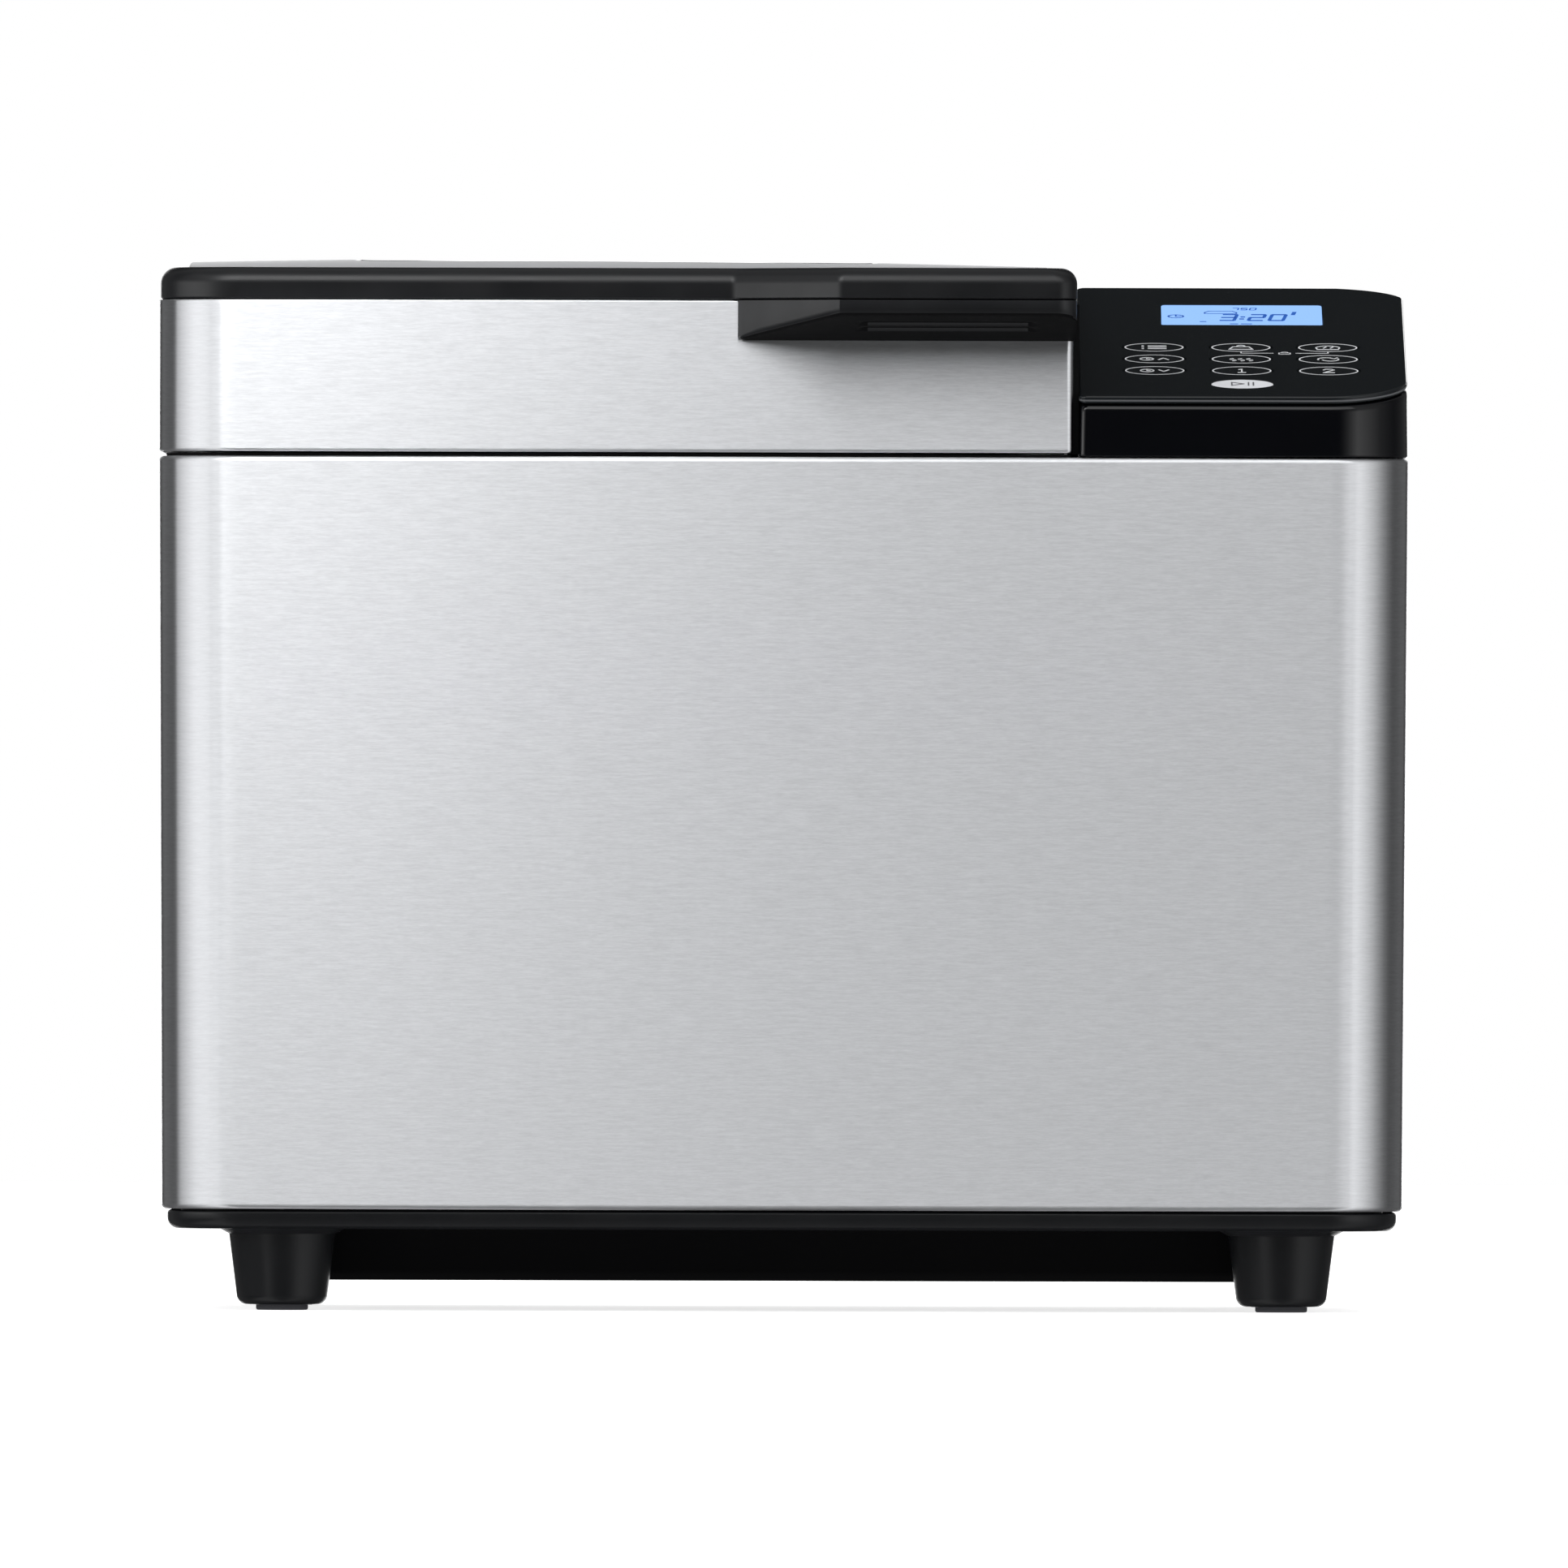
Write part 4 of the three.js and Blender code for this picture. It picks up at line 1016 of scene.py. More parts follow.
def make_lid_top():
    count = 160
    edge = even_ring(plate_outline(0), count)
    middle = even_ring(window_outline(-0.2 * MM), count)
    under = PLATE_LOW.z

    def ring(share, lift, curved=1.0):
        points = []
        for a, b in zip(edge, middle):
            p = a.lerp(b, share)
            points.append((p.x, p.y, lift + curved * arch(p.x, p.y)))
        return points

    top = ARCH_BASE
    steps = [(0, under, 0), (0, top - 0.8 * MM), (0.004, top - 0.2 * MM), (0.013, top)]
    steps += [(share / 12, top) for share in range(1, 12)]
    steps += [(0.992, top), (1, top - 0.4 * MM), (1, under, 0.9), (0.5, under, 0.9)]
    plate = loft("arched_plate", [ring(*step) for step in steps], closed=True)
    dress(plate, STEEL_TOP, "lid", ["lid_top_plate"])

    # The seal and the glass follow the plate's arch.
    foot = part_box("window_seal")[0].z - 2 * MM
    bulge = 1.2 * MM
    crest = ARCH_BASE + 0.1 * MM
    profile = [(0, foot)] + arc(bulge, crest - bulge, bulge, 180, 0, 10) + [(2 * bulge, foot)]
    rings = arched(stack(lambda inset: window_outline(inset + 0.3 * MM, 12), profile))
    seal = loft("moulded_window_seal", rings, closed=True)
    dress(seal, RUBBER, "lid", ["window_seal"])

    r = 0.6 * MM
    top = ARCH_BASE - 0.4 * MM
    bottom = top - 3.2 * MM
    profile = arc(r, bottom + r, r, 270, 180, 4) + arc(r, top - r, r, 180, 90, 4)
    profile = [(40 * MM, bottom), (20 * MM, bottom)] + profile + [(20 * MM, top), (40 * MM, top)]

    def pane_outline(inset):
        return [tuple(p) for p in even_ring(window_outline(inset + 3 * MM, 12), 96)]

    pane = loft("glass_pane", arched(stack(pane_outline, profile)))
    dress(pane, GLASS, "lid", ["lid_window"])


def make_liner():
    low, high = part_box("lid_liner")
    flange = 1.3 * MM
    r = 10 * MM
    dome_x, dome_y = 120 * MM, 95 * MM

    def outline(inset):
        """Runs from the lid's edge at 0 to the dome's wall at 100 mm and over."""
        if inset < 50 * MM:
            return even_ring(lid_outline(1.6 * MM + inset), 144)
        grow = inset - 100 * MM
        ring = centred(dome_x - grow, dome_y - grow, max(18 * MM - grow, 5 * MM), OVEN_X, MIDDLE_Y, 14)
        return even_ring(ring, 144)

    wall = 100 * MM
    profile = [(0, low.z), (0, low.z + flange), (wall - 2 * MM, low.z + flange), (wall - 2 * MM, high.z - r)]
    profile += arc(wall - 2 * MM + r, high.z - r, r, 180, 90, 4)
    profile += [(wall + 60 * MM, high.z), (wall + 60 * MM, high.z - 1.4 * MM)]
    profile += arc(wall + r, high.z - 1.4 * MM - r, r, 90, 180, 6)
    profile += arc(wall - 1.6 * MM, low.z + 1.6 * MM, 1.6 * MM, 0, -90, 4)
    rings = [[(p[0], p[1], z) for p in outline(inset)] for inset, z in profile]
    liner = loft("moulded_liner", rings, closed=True)
    dress(liner, BLACK, "lid", ["lid_liner"])


def make_grip():
    """The grip's lower half: a wedge at the left, then an even lip with finger grooves under it."""
    low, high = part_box("lid_handle")
    back, front = high.y, low.y
    seam = high.z
    heel, toe = low.z, 286.9 * MM
    fall = (toe - heel) / (back - front)

    def plan(x):
        """How far forward the grip reaches at x."""
        if x < GRIP_SHOULDER:
            t = (x - GRIP_LEFT) / (GRIP_SHOULDER - GRIP_LEFT)
            return back + (front - back) * t
        past = x - (high.x - GRIP_CORNER)
        if past > 0:
            return front + GRIP_CORNER - math.sqrt(max(GRIP_CORNER**2 - past**2, 0))
        return front

    def groove(x, y):
        """Depth of the two finger grooves at a point of the underside."""
        depth = 0.0
        along = min(x - 21.8 * MM, 72 * MM - x)
        for centre in (front + 8.5 * MM, front + 13.5 * MM):
            across = 1 - ((y - centre) / (1.5 * MM)) ** 2
            if across > 0 and along > 0:
                depth = max(depth, 1.0 * MM * math.sqrt(across) * min(1.0, along / (1.5 * MM)))
        return depth

    def section(x):
        y0 = plan(x)
        soft = min(1.6 * MM, (back - y0) * 0.4)
        under_front = toe - fall * (y0 - front)
        nick = max(1 - (x - GRIP_LEFT - 1.2 * MM) / GRIP_NICK, 0)
        lift = GRIP_NICK * (1 - math.sqrt(max(1 - nick * nick, 0)))
        points = [(x, back, seam), (x, y0, seam)]
        points.append((x, y0, under_front + soft * 1.2))
        for i in range(1, 5):
            t = i / 4
            y = y0 + soft * t * t
            z = under_front + soft * 1.2 * (1 - t) ** 2 - fall * soft * t * t
            points.append((x, y, z + lift))
        steps = 36
        for i in range(1, steps + 1):
            y = y0 + soft + (back - y0 - soft) * i / steps
            points.append((x, y, toe - fall * (y - front) + groove(x, y) + lift))
        return points

    start = GRIP_LEFT + 1.2 * MM
    xs = [start + GRIP_NICK * (1 - math.cos(math.radians(15 * i))) for i in range(6)]
    xs += [start + GRIP_NICK + (GRIP_SHOULDER - start - GRIP_NICK) * i / 9 for i in range(10)]
    xs += [GRIP_SHOULDER + (high.x - GRIP_CORNER - GRIP_SHOULDER) * i / 46 for i in range(1, 47)]
    xs += [high.x - GRIP_CORNER + GRIP_CORNER * math.sin(math.radians(9 * i)) for i in range(1, 10)]
    grip = loft("moulded_grip", [section(x) for x in xs], smooth_angle=30)
    dress(grip, BLACK, "lid", ["lid_handle"], weighted=False)
    # Faces that look down get painted shade: near-black standing in for the shade under the grip.
    grip.data.materials.append(PAINTED_SHADE)
    for face in grip.data.polygons:
        if face.normal.z < -0.6:
            face.material_index = 1


def make_hinge():
    low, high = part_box("hinge_rod")
    y, z = (low.y + high.y) / 2, (low.z + high.z) / 2
    r = (high.y - low.y) / 2
    length = high.x - low.x
    bevel = 0.4 * MM
    profile = [(0, 0), (r - bevel, 0), (r, bevel), (r, length - bevel), (r - bevel, length), (0, length)]
    rod = lathe("turned_hinge_rod", profile, (low.x, y, z), "X", 32)
    dress(rod, BRIGHT, replaces=["hinge_rod"])
    knuckle = 4.6 * MM
    for part, body in (("hinge_bracket", "root"), ("hinge_arm", "lid")):
        for side in ("left", "right"):
            low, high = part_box(f"{part}_{side}")
            if part == "hinge_bracket":
                shape = [(low.y, low.z), (high.y - 1.2 * MM, low.z)]
                shape += [*arc(y, z, knuckle, 0, 180, 16), (low.y, z - MM)]
            else:
                shape = [(low.y, z - 4 * MM), *arc(y, z, knuckle, -120, 120, 16), (low.y, z + 4 * MM)]
            half = (high.x - low.x) / 2
            piece = prism(f"pressed_{part}_{side}", shape, -half, half, 0.5 * MM)
            eye = prism("cutter", circle(r + 0.3 * MM, 32, y, z), -half - MM, half + MM)
            carve(piece, eye)
            piece.data.transform(Matrix.Translation(((low.x + high.x) / 2, 0, 0)) @ UPRIGHT)
            dress(piece, ENAMEL, body, [f"{part}_{side}"])


# ---------------------------------------------------------------- control housing, panel, keys, display


def make_console():
    low, high = CONSOLE
    ridge_y = PANEL[1].y
    ridge_z, rear_z = high.z - 1 * MM, 285 * MM
    under_panel = PANEL_FRONT_Z - (PANEL_THICK + 0.3 * MM) / math.cos(SLOPE)

    def top(y):
        if y <= ridge_y:
            return under_panel + (y - FRONT) * math.tan(SLOPE)
        return ridge_z + (rear_z - ridge_z) * (y - ridge_y) / (BACK - ridge_y)

    def outline(inset):
        """The plan, with its long straight sides divided where the top changes."""
        corners = [2 * MM, CORNER - inset, CORNER - inset, 2 * MM]
        ring = rounded(low.x + inset, FRONT + inset, high.x - inset, BACK - inset, corners, 14)
        breaks = [FRONT + 40 * MM, ridge_y, ridge_y + 0.6 * MM, ridge_y + 3 * MM, ridge_y + 40 * MM]
        right = [(high.x - inset, y) for y in breaks]
        left = [(low.x + inset, y) for y in reversed(breaks)]
        return ring[:30] + right + ring[30:] + left

    rows = ((0.6, 0), (0.15, 0.2), (0, 0.6), (0.1, 8))
    rings = [[(x, y, low.z + rise * MM) for x, y in outline(inset * MM)] for inset, rise in rows]
    for inset, drop in ((0.2, 2.0), (0.25, 1.2), (0.5, 0.45), (1.1, 0.0)):
        rings.append([(x, y, top(y) - drop * MM) for x, y in outline(inset * MM)])
    bm = bmesh.new()
    verts = [[bm.verts.new(p) for p in ring] for ring in rings]
    count = len(rings[0])
    for lower, upper in zip(verts, verts[1:]):
        for i in range(count):
            j = (i + 1) % count
            bm.faces.new((lower[i], lower[j], upper[j], upper[i]))
    bm.faces.new(list(reversed(verts[0])))
    last = verts[-1]
    right = list(range(30, 35))
    left = list(range(count - 5, count))[::-1]
    spans = list(zip(right, left))
    bm.faces.new([last[i] for i in range(left[0] + 1 - count, right[0] + 1)] + [last[left[0]]])
    for (r0, l0), (r1, l1) in zip(spans, spans[1:]):
        bm.faces.new((last[r0], last[r1], last[l1], last[l0]))
    bm.faces.new(last[right[-1] : left[-1] + 1])
    housing = to_object("moulded_console", bm)
    half = 1.5
    ends = (70 * MM, 112 * MM, 281 * MM, 300 * MM)
    vents = [block((x - half) * MM, (x + half) * MM, *ends) for x in range(104, 161, 8)]
    carve(housing, *vents)
    carve(housing, shoulder_cutter())
    # The console's darker gloss black is painted shade on its front.
    dress(housing, CONSOLE_PAINTED_SHADE, replaces=["control_housing"])


def shoulder_cutter():
    """Everything above the curve that the console's top falls along towards its right side."""
    high = PANEL[1]
    start, reach, drop = high.x - 27 * MM, 27.5 * MM, 3.9 * MM
    curve = []
    for i in range(25):
        u = i / 24
        curve.append((start + reach * u, high.z + 0.05 * MM - drop * (1 - math.sqrt(1 - u * u))))
    right, ceiling = start + reach + MM, high.z + 9 * MM
    shape = [*curve, (right, high.z - drop), (right, ceiling), (start, ceiling)]
    cutter = prism("cutter", shape, -BACK - 5 * MM, -FRONT + 5 * MM)
    cutter.data.transform(Z_TO_Y.inverted())
    return cutter


def panel_outline(inset):
    low, high = PANEL
    corners = [2 * MM, 24 * MM - inset, 2 * MM, 2 * MM]
    return rounded(low.x + inset, inset, high.x - inset, PANEL_LENGTH - inset, corners, 16)


def on_panel(node):
    """A key's centre in the panel's own plane: across, and up the slope."""
    low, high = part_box(node)
    centre = ON_PANEL.inverted() @ ((low + high) / 2)
    return centre.x, centre.y


KEYS = sorted(name for name in frame["nodes"] if name.startswith("key_"))
KEY_X, KEY_Y = 9 * MM, 6.3 * MM


def oval(grow, cx=0.0, cy=0.0, steps=56):
    """A key's outline, grown or shrunk, about a point of the panel."""
    angles = [TURN * i / steps for i in range(steps)]
    return [(cx + (KEY_X + grow) * math.cos(a), cy + (KEY_Y + grow) * math.sin(a)) for a in angles]


def stroke(bm, points, width, lift, at, stretch=1.0):
    """A printed line: a thin raised strip along a path, stretched across its level parts."""
    path = [Vector(p) for p in points]
    for a, b in zip(path, path[1:]):
        along = (b - a).normalized() * width * 0.5
        side = Vector((-along.y, along.x * stretch))
        start, end = a - along, b + along
        corners = [start + side, start - side, end - side, end + side]
        skin(bm, placed(flat_rings(corners, 0, lift), at))


def ring_band(bm, outer, inner, lift, at):
    """A printed closed line between two outlines of the same length."""
    section = ((outer, 0), (outer, lift), (inner, lift), (inner, 0))
    rings = [[(x, y, z) for x, y in shape] for shape, z in section]
    skin(bm, placed(rings, at), closed=True)


def in_mm(points, x=0.0, y=0.0):
    """Points given in millimetres, from a place in metres."""
    return [(x + px * MM, y + py * MM) for px, py in points]


# Key symbols as strokes, in millimetres about the key's centre.
CLOCK_SIGN = [arc(-2.2, 0, 1.9, 0, 360, 12), [(-2.2, 0.9), (-2.2, 0), (-1.4, 0)]]
SYMBOLS = {
    "key_menu": [[(x, y), (end, y)] for y in (2, 0, -2) for x, end in ((-3.4, -3.1), (-1.6, 3.4))],
    "key_weight": [
        [(-3.4, -2.6), (3.4, -2.6), (2.3, 1), (-2.3, 1), (-3.4, -2.6)],
        arc(0, 2, 1.1, -60, 240, 8),
    ],
    "key_crust": [
        arc(0, -0.3, 3.4, 0, 180, 10, 0.8),
        [(-3.4, -0.3), (-3.0, -2.6), (3.0, -2.6), (3.4, -0.3)],
        [(-1.2, -0.8), (-0.5, 1)],
        [(0.8, -0.8), (1.5, 1)],
    ],
    "key_time_up": [*CLOCK_SIGN, [(1.2, -1), (2.6, 1.2), (4, -1)]],
    "key_time_down": [*CLOCK_SIGN, [(1.2, 1), (2.6, -1.2), (4, 1)]],
    "key_bake": [arc(x, 0, 0.8, 90, 270, 6) + arc(x, -1.6, 0.8, 90, -90, 6) for x in (-2.4, 0, 2.4)],
    "key_mix": [
        arc(-0.6, 0, 2.4, 200, 20, 8),
        arc(0.6, 0, 2.4, 20, -160, 8),
        [(2.6, 2.2), (1.7, 0.8), (0.6, 1.8)],
    ],
    "key_program_one": [[(-0.8, 1.6), (0, 2.5), (0, -2.4)], [(-1, -2.4), (1, -2.4)]],
    "key_program_two": [[(-1.5, 1.4), (-0.8, 2.5), (0.8, 2.5), (1.5, 1.4), (-1.5, -2.4), (1.5, -2.4)]],
    "key_start": [[(-3, -2.2), (-3, 2.2), (0.4, 0), (-3, -2.2)]]
    + [[(x, -2.2), (x, 2.2)] for x in (1.8, 3.2)],
}


def make_panel():
    edge = 0.5 * MM
    profile = [(edge, -PANEL_THICK)] + arc(edge, -PANEL_THICK + edge, edge, 270, 180, 3)[1:]
    profile += arc(edge, -edge, edge, 180, 90, 5)
    panel = loft("film_panel", stack(panel_outline, profile))
    reach = 5 * MM
    cutters = [prism("cutter", oval(0.3 * MM, *on_panel(key)), -reach, reach) for key in KEYS]
    x0, x1, v0, v1 = display_window()
    gap = 0.25 * MM
    window = rounded(x0 - gap, v0 - gap, x1 + gap, v1 + gap, MM, 5)
    carve(panel, *cutters, prism("cutter", window, -reach, reach))
    panel.data.transform(ON_PANEL)
    carve(panel, shoulder_cutter())
    dress(panel, GLOSS, replaces=["control_panel"])
    # A grey trim round the panel's edge: a real edge, and its light grey paints the edge highlight.
    outer, inner = panel_outline(-0.15 * MM), panel_outline(0.35 * MM)
    section = ((outer, -1.5), (outer, -1.05), (inner, -0.95), (inner, -1.6))
    rings = [[(x, y, z * MM) for x, y in shape] for shape, z in section]
    trim = loft("panel_trim_painted_highlight", placed(rings, ON_PANEL), closed=True)
    carve(trim, shoulder_cutter())
    dress(trim, PANEL_EDGE_HIGHLIGHT, weighted=False)


def make_bracket():
    """The printed bracket that ties the weight and crust keys, with a padlock sign in its gap."""
    (x0, v0), (x1, _) = on_panel("key_weight"), on_panel("key_crust")
    v = (v0 + on_panel("key_bake")[1]) / 2
    bm = bmesh.new()
    lift = 0.05 * MM
    middle = (x0 + x1) / 2
    for end, inner in ((x0, middle - 3.4 * MM), (x1, middle + 3.4 * MM)):
        stroke(bm, [(end, v + 1.6 * MM), (end, v), (inner, v)], 0.4 * MM, lift, ON_PANEL)
    lock = [(-1.6, -1.5), (1.6, -1.5), (1.6, 0.5), (-1.6, 0.5), (-1.6, -1.5)]
    stroke(bm, in_mm(lock, middle, v), 0.4 * MM, lift, ON_PANEL)
    stroke(bm, in_mm(arc(0, 0.5, 1.0, 0, 180, 8, 1.4), middle, v), 0.35 * MM, lift, ON_PANEL)
    dress(to_object("print_bracket", bm), WHITE_INK, weighted=False)


def make_keys():
    # Each ring of a key's cap: how much wider than the key, and how high above the panel.
    rows = [(0.9, -3.2), (0.9, -2.65), (0, -2.6), (0, -0.45), (-0.12, -0.18), (-0.4, -0.05)]
    crest = rows[-1][1] * MM
    for name in KEYS:
        cx, cy = on_panel(name)
        at = ON_PANEL @ Matrix.Translation((cx, cy, 0))
        pale = name == "key_start"
        rings = [[(x, y, z * MM) for x, y in oval(grow * MM)] for grow, z in rows]
        cap = loft("moulded_" + name, rings)
        cap.data.transform(at)
        dress(cap, KEY_WHITE if pale else KEY_BLACK, name, [name])
        bm = bmesh.new()
        lift = 0.06 * MM
        surface = at @ Matrix.Translation((0, 0, crest))
        if not pale:
            ring_band(bm, oval(-0.45 * MM), oval(-0.85 * MM), lift, surface)
        for line in SYMBOLS[name]:
            stroke(bm, in_mm(line), 0.42 * MM, lift, surface, stretch=1.8)
        mark = to_object("print_" + name, bm)
        ink, slot = (GREY_INK, "gloss_black") if pale else (WHITE_INK, "key_white")
        dress(mark, ink, name, weighted=False)


def display_window():
    """The display's glass in the panel's plane: left, right, near and far edges."""
    inverse = ON_PANEL.inverted()
    points = [inverse @ v.co for v in frame["nodes"]["lcd_display"].data.vertices]
    top = [p for p in points if p.z > -0.5 * MM]
    return min(p.x for p in top), max(p.x for p in top), min(p.y for p in top), max(p.y for p in top)


# Which of a digit's seven strokes are lit: top, upper left, upper right, middle, then the lower ones.
DIGITS = {"0": "1110111", "2": "1011101", "3": "1011011", "5": "1101011", "7": "1010010"}
SLANT = 0.12


def digit_strokes(digit, width, height):
    """A digit's lit strokes, each a little shorter than its side of the figure."""
    corners = {"tl": (0, height), "tr": (width, height), "ml": (0, height / 2), "mr": (width, height / 2)}
    corners |= {"bl": (0, 0), "br": (width, 0)}
    pairs = [("tl", "tr"), ("tl", "ml"), ("tr", "mr"), ("ml", "mr"), ("ml", "bl"), ("mr", "br"), ("bl", "br")]
    strokes = []
    for (start, end), lit in zip(pairs, DIGITS[digit]):
        if lit == "1":
            a, b = Vector(corners[start]), Vector(corners[end])
            trim = (b - a) * 0.13
            strokes.append([a + trim, b - trim])
    return strokes


def number(bm, text, x, y, width, height, thick, lift, at):
    """Seven-stroke digits side by side, a colon as two dots; level strokes are a little thicker."""
    for sign in text:
        if sign == ":":
            for rise in (0.25 * height, 0.6 * height):
                left = x + SLANT * rise
                stroke(bm, [(left, y + rise), (left + 0.01 * MM, y + rise)], thick, lift, at)
            x += 0.55 * width
            continue
        for line in digit_strokes(sign, width, height):
            weight = thick if line[0].y == line[1].y else 0.78 * thick
            stroke(bm, [(x + (p.x + SLANT * p.y), y + p.y) for p in line], weight, lift, at)
        x += 1.5 * width


def make_display():
    x0, x1, v0, v1 = display_window()

    def outline(inset):
        return rounded(x0 + inset, v0 + inset, x1 - inset, v1 - inset, MM, 5)

    edge = 0.4 * MM
    profile = [(edge, -2.0 * MM)] + arc(edge, -0.5 * MM, edge, 180, 90, 4)
    glass = loft("display_glass", stack(outline, profile))
    glass.data.transform(ON_PANEL)
    dress(glass, DISPLAY, replaces=["lcd_display"])
    at = ON_PANEL @ Matrix.Translation((0, 0, -0.1 * MM))
    lift = 0.05 * MM
    bm = bmesh.new()
    number(bm, "3:20", x0 + 17 * MM, v0 + 6.8 * MM, 4 * MM, 8.4 * MM, 1.35 * MM, lift, at)
    number(bm, "750", x0 + 20.5 * MM, v0 + 21.8 * MM, 1.7 * MM, 2.8 * MM, 0.5 * MM, lift, at)
    # Small generic signs, each with its line width: a clock, its hands, a loaf, tick marks and one mark.
    loaf = [(-4.6, 0), (-4.6, 1.6), (-3.4, 3.4), (3.4, 3.4), (4.6, 1.6), (4.6, 0), (-4.6, 0)]
    signs = [(arc(4.2, 12.5, 2.2, 0, 360, 12), 0.5), ([(4.2, 13.9), (4.2, 12.5), (5.4, 12.5)], 0.5)]
    signs.append(([(17.2 + x, 16.6 + y) for x, y in loaf], 0.45))
    ticks = ((11.5, 5, 1.1), (20.2, 1.8, 1.6), (23.4, 1.8, 2.4))
    signs += [([(x, y), (x + wide, y)], 0.8) for x, y, wide in ticks]
    signs.append(([(38.2, 15.4), (38.6, 18.6)], 1.2))
    for points, width in signs:
        stroke(bm, in_mm(points, x0, v0), width * MM, lift, at)
    dress(to_object("display_digits", bm), SEGMENT_INK, weighted=False)


# ---------------------------------------------------------------- studio


# The front softbox is even; a clear one near the left half glows less from its start on, over its reach.
FRONT_EVEN = 2.72
NEAR_LEVEL = 5.2
NEAR_START = -0.15
NEAR_REACH = 0.115
BACK_LEVEL = 2.3


def make_floor():
    bm = bmesh.new()
    bmesh.ops.create_grid(bm, x_segments=1, y_segments=1, size=6)
    floor = to_object("floor", bm)
    material = bpy.data.materials.new("pale_floor")
    material.use_nodes = True
    shader = material.node_tree.nodes["Principled BSDF"]
    shader.inputs["Base Color"].default_value = (0.7, 0.7, 0.7, 1)
    shader.inputs["Roughness"].default_value = 0.9
    shader.inputs["Specular IOR Level"].default_value = 0.1
    shader.inputs["Emission Color"].default_value = (1, 1, 1, 1)
    shader.inputs["Emission Strength"].default_value = 0.75
    floor.data.materials.append(material)
    floor.visible_glossy = False


def math_node(tree, operation, first, second=None):
    node = tree.nodes.new("ShaderNodeMath")
    node.operation = operation
    for slot, value in ((0, first), (1, second)):
        if value is None:
            continue
        if isinstance(value, (int, float)):
            node.inputs[slot].default_value = value
        else:
            tree.links.new(value, node.inputs[slot])
    return node.outputs[0]


def bell(tree, value, width):
    """A soft bump that is 1 where a value is 0 and falls off over a width."""
    off = math_node(tree, "DIVIDE", value, width)
    square = math_node(tree, "MULTIPLY", off, off)
    return math_node(tree, "EXPONENT", math_node(tree, "MULTIPLY", square, -1.0))


def ramp_node(tree, value, stops):
    """A curve through (position, level) stops."""
    ramp = tree.nodes.new("ShaderNodeValToRGB")
    tree.links.new(value, ramp.inputs[0])
    elements = ramp.color_ramp.elements
    while len(elements) < len(stops):
        elements.new(0.5)
    for element, (position, level) in zip(elements, stops):
        element.position = position
        element.color = (level, level, level, 1)
    return ramp.outputs["Color"]


def range_node(tree, value, start, end, kind="LINEAR"):
    """How far a value has come from start to end, between 0 and 1."""
    node = tree.nodes.new("ShaderNodeMapRange")
    node.interpolation_type = kind
    node.inputs["From Min"].default_value = start
    node.inputs["From Max"].default_value = end
    tree.links.new(value, node.inputs["Value"])
    return node.outputs["Result"]


def mix_node(tree, factor, first, second):
    """A blend of two colours, each a socket or a grey level."""
    mix = tree.nodes.new("ShaderNodeMix")
    mix.data_type = "RGBA"
    tree.links.new(factor, mix.inputs["Factor"])
    for socket, value in (("A", first), ("B", second)):
        if isinstance(value, float):
            mix.inputs[socket].default_value = (value, value, value, 1)
        else:
            tree.links.new(value, mix.inputs[socket])
    return mix.outputs["Result"]


def hidden_card(name, start, end, low, high, strength, clear=False):
    """An upright glowing sheet between two places in plan, which only mirrored rays see.

    strength is its glow, or a function of (tree, x, y, z) that gives the socket with it.
    """
    bm = bmesh.new()
    corners = ((*start, low), (*end, low), (*end, high), (*start, high))
    bm.faces.new([bm.verts.new(corner) for corner in corners])
    card = to_object(name, bm)
    material = bpy.data.materials.new(name + "_glow")
    material.use_nodes = True
    tree = material.node_tree
    tree.nodes.clear()
    glow = tree.nodes.new("ShaderNodeEmission")
    glow.inputs["Color"].default_value = (1, 1, 1, 1)
    if callable(strength):
        parts = tree.nodes.new("ShaderNodeSeparateXYZ")
        tree.links.new(tree.nodes.new("ShaderNodeTexCoord").outputs["Object"], parts.inputs[0])
        tree.links.new(strength(tree, *parts.outputs), glow.inputs["Strength"])
    else:
        glow.inputs["Strength"].default_value = strength
    surface = glow.outputs[0]
    if clear:
        both = tree.nodes.new("ShaderNodeAddShader")
        tree.links.new(surface, both.inputs[0])
        tree.links.new(tree.nodes.new("ShaderNodeBsdfTransparent").outputs[0], both.inputs[1])
        surface = both.outputs[0]
    output = tree.nodes.new("ShaderNodeOutputMaterial")
    tree.links.new(surface, output.inputs["Surface"])
    card.data.materials.append(material)
    card.visible_camera = False
    card.visible_shadow = False
    card.visible_diffuse = False


def near_glow(tree, x, y, z):
    """Full at the left, falling off to the right of its start."""
    away = math_node(tree, "MAXIMUM", math_node(tree, "SUBTRACT", x, NEAR_START), 0.0)
    across = math_node(tree, "EXPONENT", math_node(tree, "DIVIDE", away, -NEAR_REACH))
    return math_node(tree, "MULTIPLY", across, NEAR_LEVEL)


def left_glow(tree, x, y, z):
    """Brighter upwards and towards the front, with a bright level band."""
    along = math_node(tree, "ADD", math_node(tree, "DIVIDE", y, 2.0), 0.75)
    level = ramp_node(tree, along, [(0.09, 1.15), (0.47, 1.1), (0.7, 0.7), (0.84, 0.4)])
    slope = math_node(tree, "ADD", math_node(tree, "MULTIPLY", z, 0.6), 0.33)
    rise = math_node(tree, "MAXIMUM", slope, 0.05)
    band = bell(tree, math_node(tree, "SUBTRACT", z, 0.28), 0.17)
    glow = math_node(tree, "ADD", rise, math_node(tree, "MULTIPLY", band, 3.3))
    return math_node(tree, "MULTIPLY", glow, level)


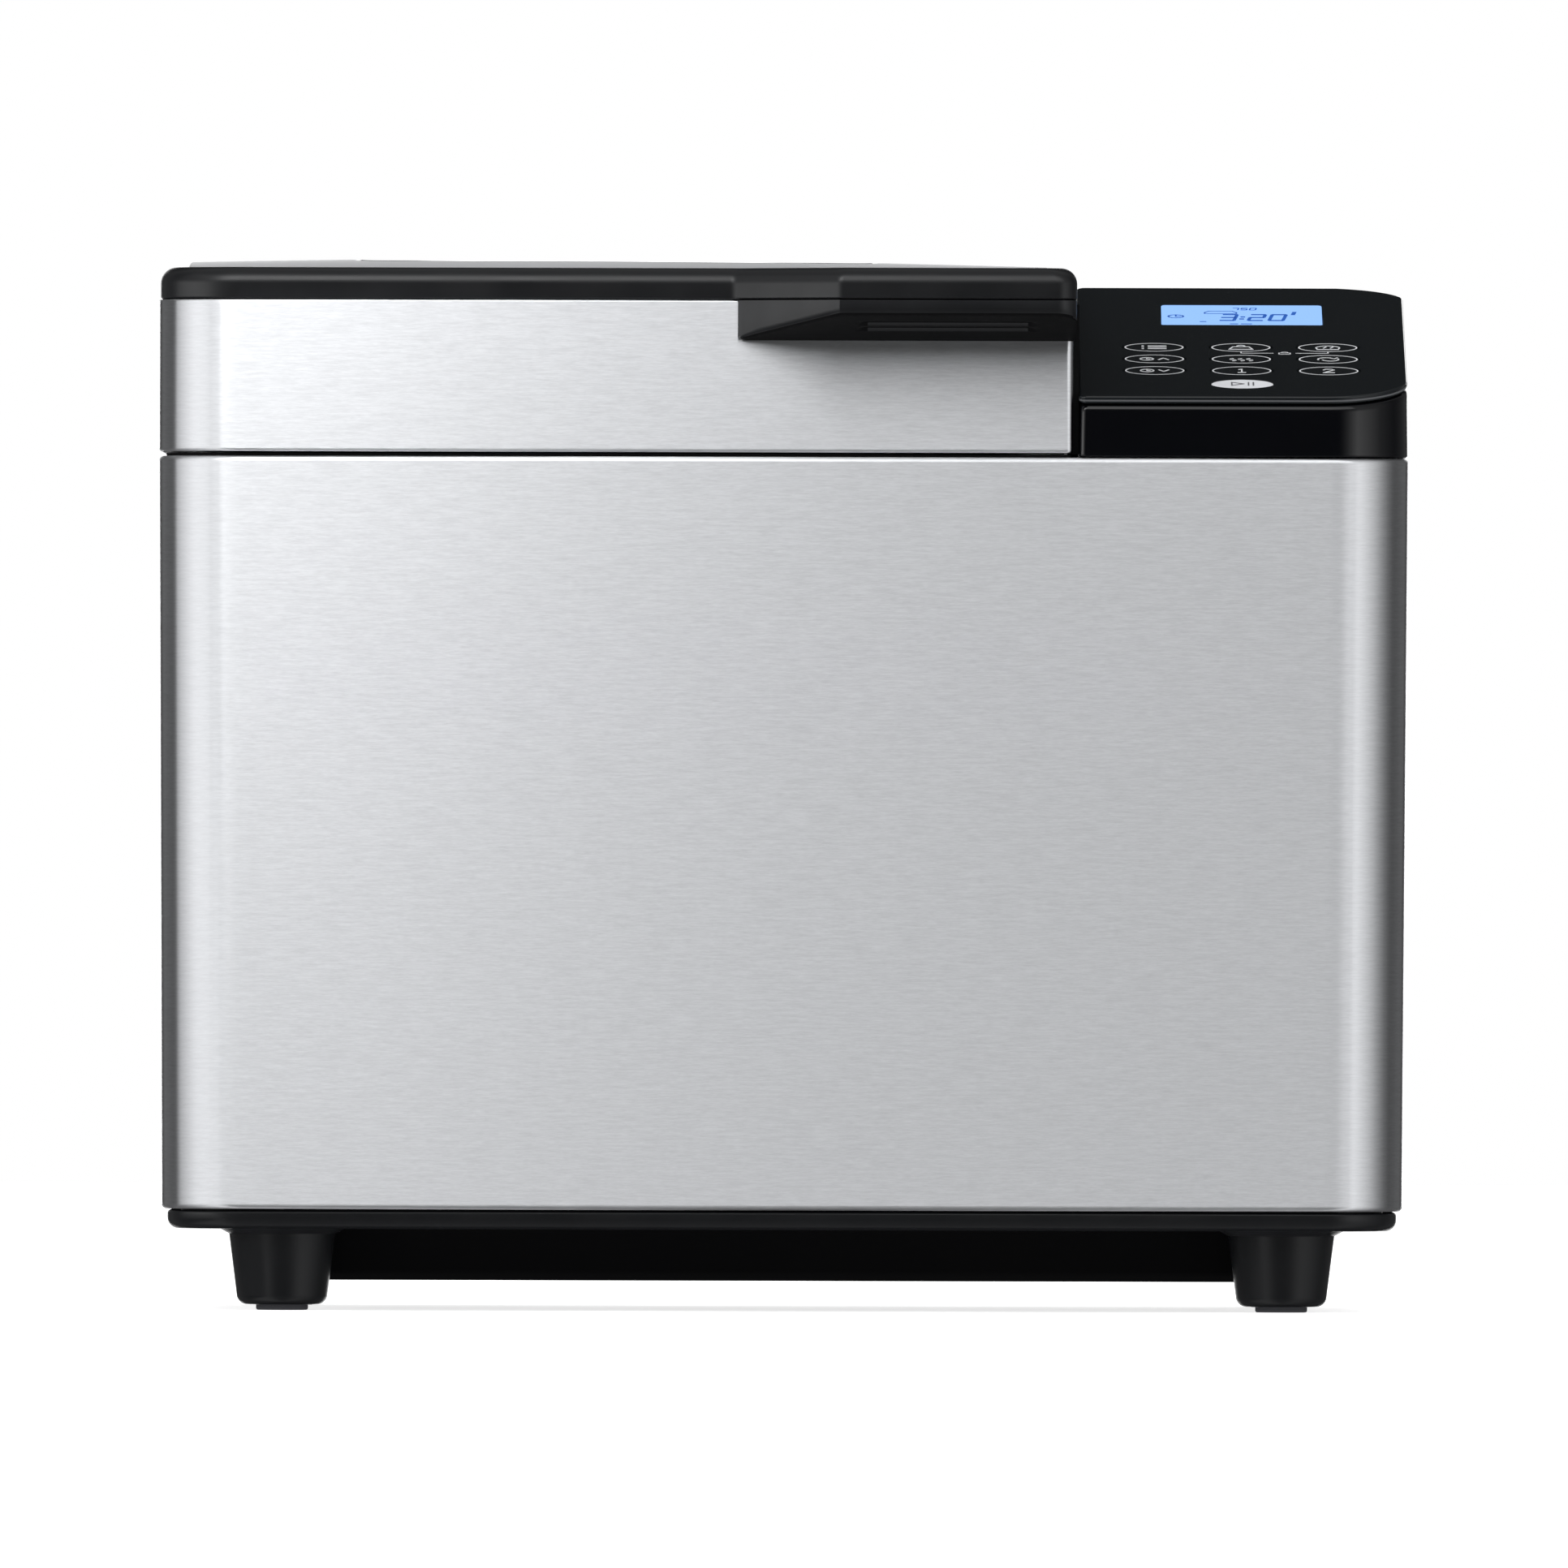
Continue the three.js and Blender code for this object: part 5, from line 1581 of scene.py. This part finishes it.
def make_cards():
    """Softboxes: above in front, a clear one nearer, tall at the left and low behind."""
    hidden_card("front_card", (-1.25, -1.31), (1.1, -1.31), 0.84, 2.4, FRONT_EVEN)
    hidden_card("near_card", (-0.4, -0.53), (0.3, -0.53), 0.47, 0.8, near_glow, clear=True)
    hidden_card("left_card", (-1.25, 0.17), (-1.25, -1.31), -0.8, 1.7, left_glow)
    hidden_card("back_card", (0.6, 1.6), (-0.6, 1.6), -0.5, 0.66, BACK_LEVEL)


def area_light(name, place, target, size, power):
    data = bpy.data.lights.new(name, "AREA")
    data.size = size
    data.energy = power
    light = bpy.data.objects.new(name, data)
    light.location = place
    light.rotation_euler = (Vector(target) - Vector(place)).to_track_quat("-Z", "Y").to_euler()
    light.visible_camera = False
    light.visible_glossy = False
    bpy.context.scene.collection.objects.link(light)


def make_world():
    """White to the eye and even for soft shading. Mirrored surfaces see bright sides and a dark room."""
    world = bpy.data.worlds.new("studio")
    bpy.context.scene.world = world
    world.use_nodes = True
    tree = world.node_tree
    tree.nodes.clear()
    direction = tree.nodes.new("ShaderNodeTexCoord").outputs["Generated"]
    parts = tree.nodes.new("ShaderNodeSeparateXYZ")
    tree.links.new(direction, parts.inputs[0])
    x, y, z = parts.outputs
    angle = math_node(tree, "ARCTAN2", x, math_node(tree, "MULTIPLY", y, -1.0))
    turn = math_node(tree, "ADD", math_node(tree, "DIVIDE", angle, TURN), 0.5)
    # Levels round the room, in degrees from straight in front.
    stops = [(-180, 0.015), (-158, 0.015), (-150, 0.16), (-106, 0.1), (-103, 0.5), (-60, 1.0), (-38, 1.1)]
    stops += [(38, 0.66), (44, 0.9), (60, 0.74), (78, 0.55), (97, 0.22), (110, 0.09), (150, 0.14)]
    stops.append((158, 0.015))
    side = ramp_node(tree, turn, [(degrees / 360 + 0.5, level) for degrees, level in stops])
    stops = [(-40, 0), (14, 0), (30, 0.8), (43, 1.5), (60, 0.8), (80, 0)]
    flare = ramp_node(tree, turn, [(degrees / 360 + 0.5, level) for degrees, level in stops])
    side = math_node(tree, "ADD", side, math_node(tree, "MULTIPLY", flare, bell(tree, z, 0.14)))
    # Levels straight in front, from below to above.
    height = math_node(tree, "ADD", math_node(tree, "MULTIPLY", z, 0.5), 0.5)
    levels = [(-1, 0.2), (-0.5, 0.2), (-0.1, 0.04), (0.34, 0.04)]
    levels += [(0.42, FRONT_EVEN), (0.85, FRONT_EVEN), (1, 0.6)]
    ahead = ramp_node(tree, height, [(rise / 2 + 0.5, level) for rise, level in levels])
    wide = math_node(tree, "ABSOLUTE", angle)
    sideways = range_node(tree, wide, math.radians(14), math.radians(43), "SMOOTHSTEP")
    around = mix_node(tree, sideways, ahead, side)
    overhead = mix_node(tree, range_node(tree, z, 0.6, 0.9), around, 0.5)
    path = tree.nodes.new("ShaderNodeLightPath")
    soft = mix_node(tree, path.outputs["Is Glossy Ray"], 0.8, overhead)
    seen = mix_node(tree, path.outputs["Is Camera Ray"], soft, 1.0)
    background = tree.nodes.new("ShaderNodeBackground")
    background.inputs["Strength"].default_value = 1.0
    tree.links.new(seen, background.inputs["Color"])
    output = tree.nodes.new("ShaderNodeOutputWorld")
    tree.links.new(background.outputs[0], output.inputs["Surface"])


def make_camera():
    """Far off with a long lens, a little under half height."""
    distance = 15.0
    frame_width = 0.4511
    eye = Vector((0.0003, FRONT - distance, 0.127))
    aim = Vector((0.0003, FRONT, 0.1519))
    data = bpy.data.cameras.new("camera")
    data.sensor_width = 36
    data.lens = data.sensor_width * distance / frame_width
    data.clip_end = 100
    camera = bpy.data.objects.new("camera", data)
    turn = (aim - eye).to_track_quat("-Z", "Y").to_matrix().to_4x4()
    roll = Matrix.Rotation(math.radians(0.153), 4, "Z")
    camera.matrix_world = Matrix.Translation(eye) @ turn @ roll
    bpy.context.scene.collection.objects.link(camera)
    bpy.context.scene.camera = camera


def make_studio():
    bpy.context.scene.view_settings.view_transform = "Standard"
    make_world()
    make_floor()
    make_cards()
    area_light("overhead", (0, -0.15, 1.6), (0, 0, 0.2), 1.3, 9)
    area_light("left_fill", (-1.6, -0.9, 0.9), (0, 0, 0.15), 0.9, 7)
    area_light("back_fill", (0.7, 1.9, 1.0), (0, 0, 0.15), 1.0, 9)
    make_camera()


# ---------------------------------------------------------------- assembly

make_studio()
dress_carried_nodes()
make_feet()
make_base()
make_housing()
make_back()
make_chamber()
make_pan()
make_lid_band()
make_lid_rim()
make_lid_top()
make_liner()
make_grip()
make_hinge()
make_console()
make_panel()
make_keys()
make_bracket()
make_display()

bpy.context.view_layer.update()
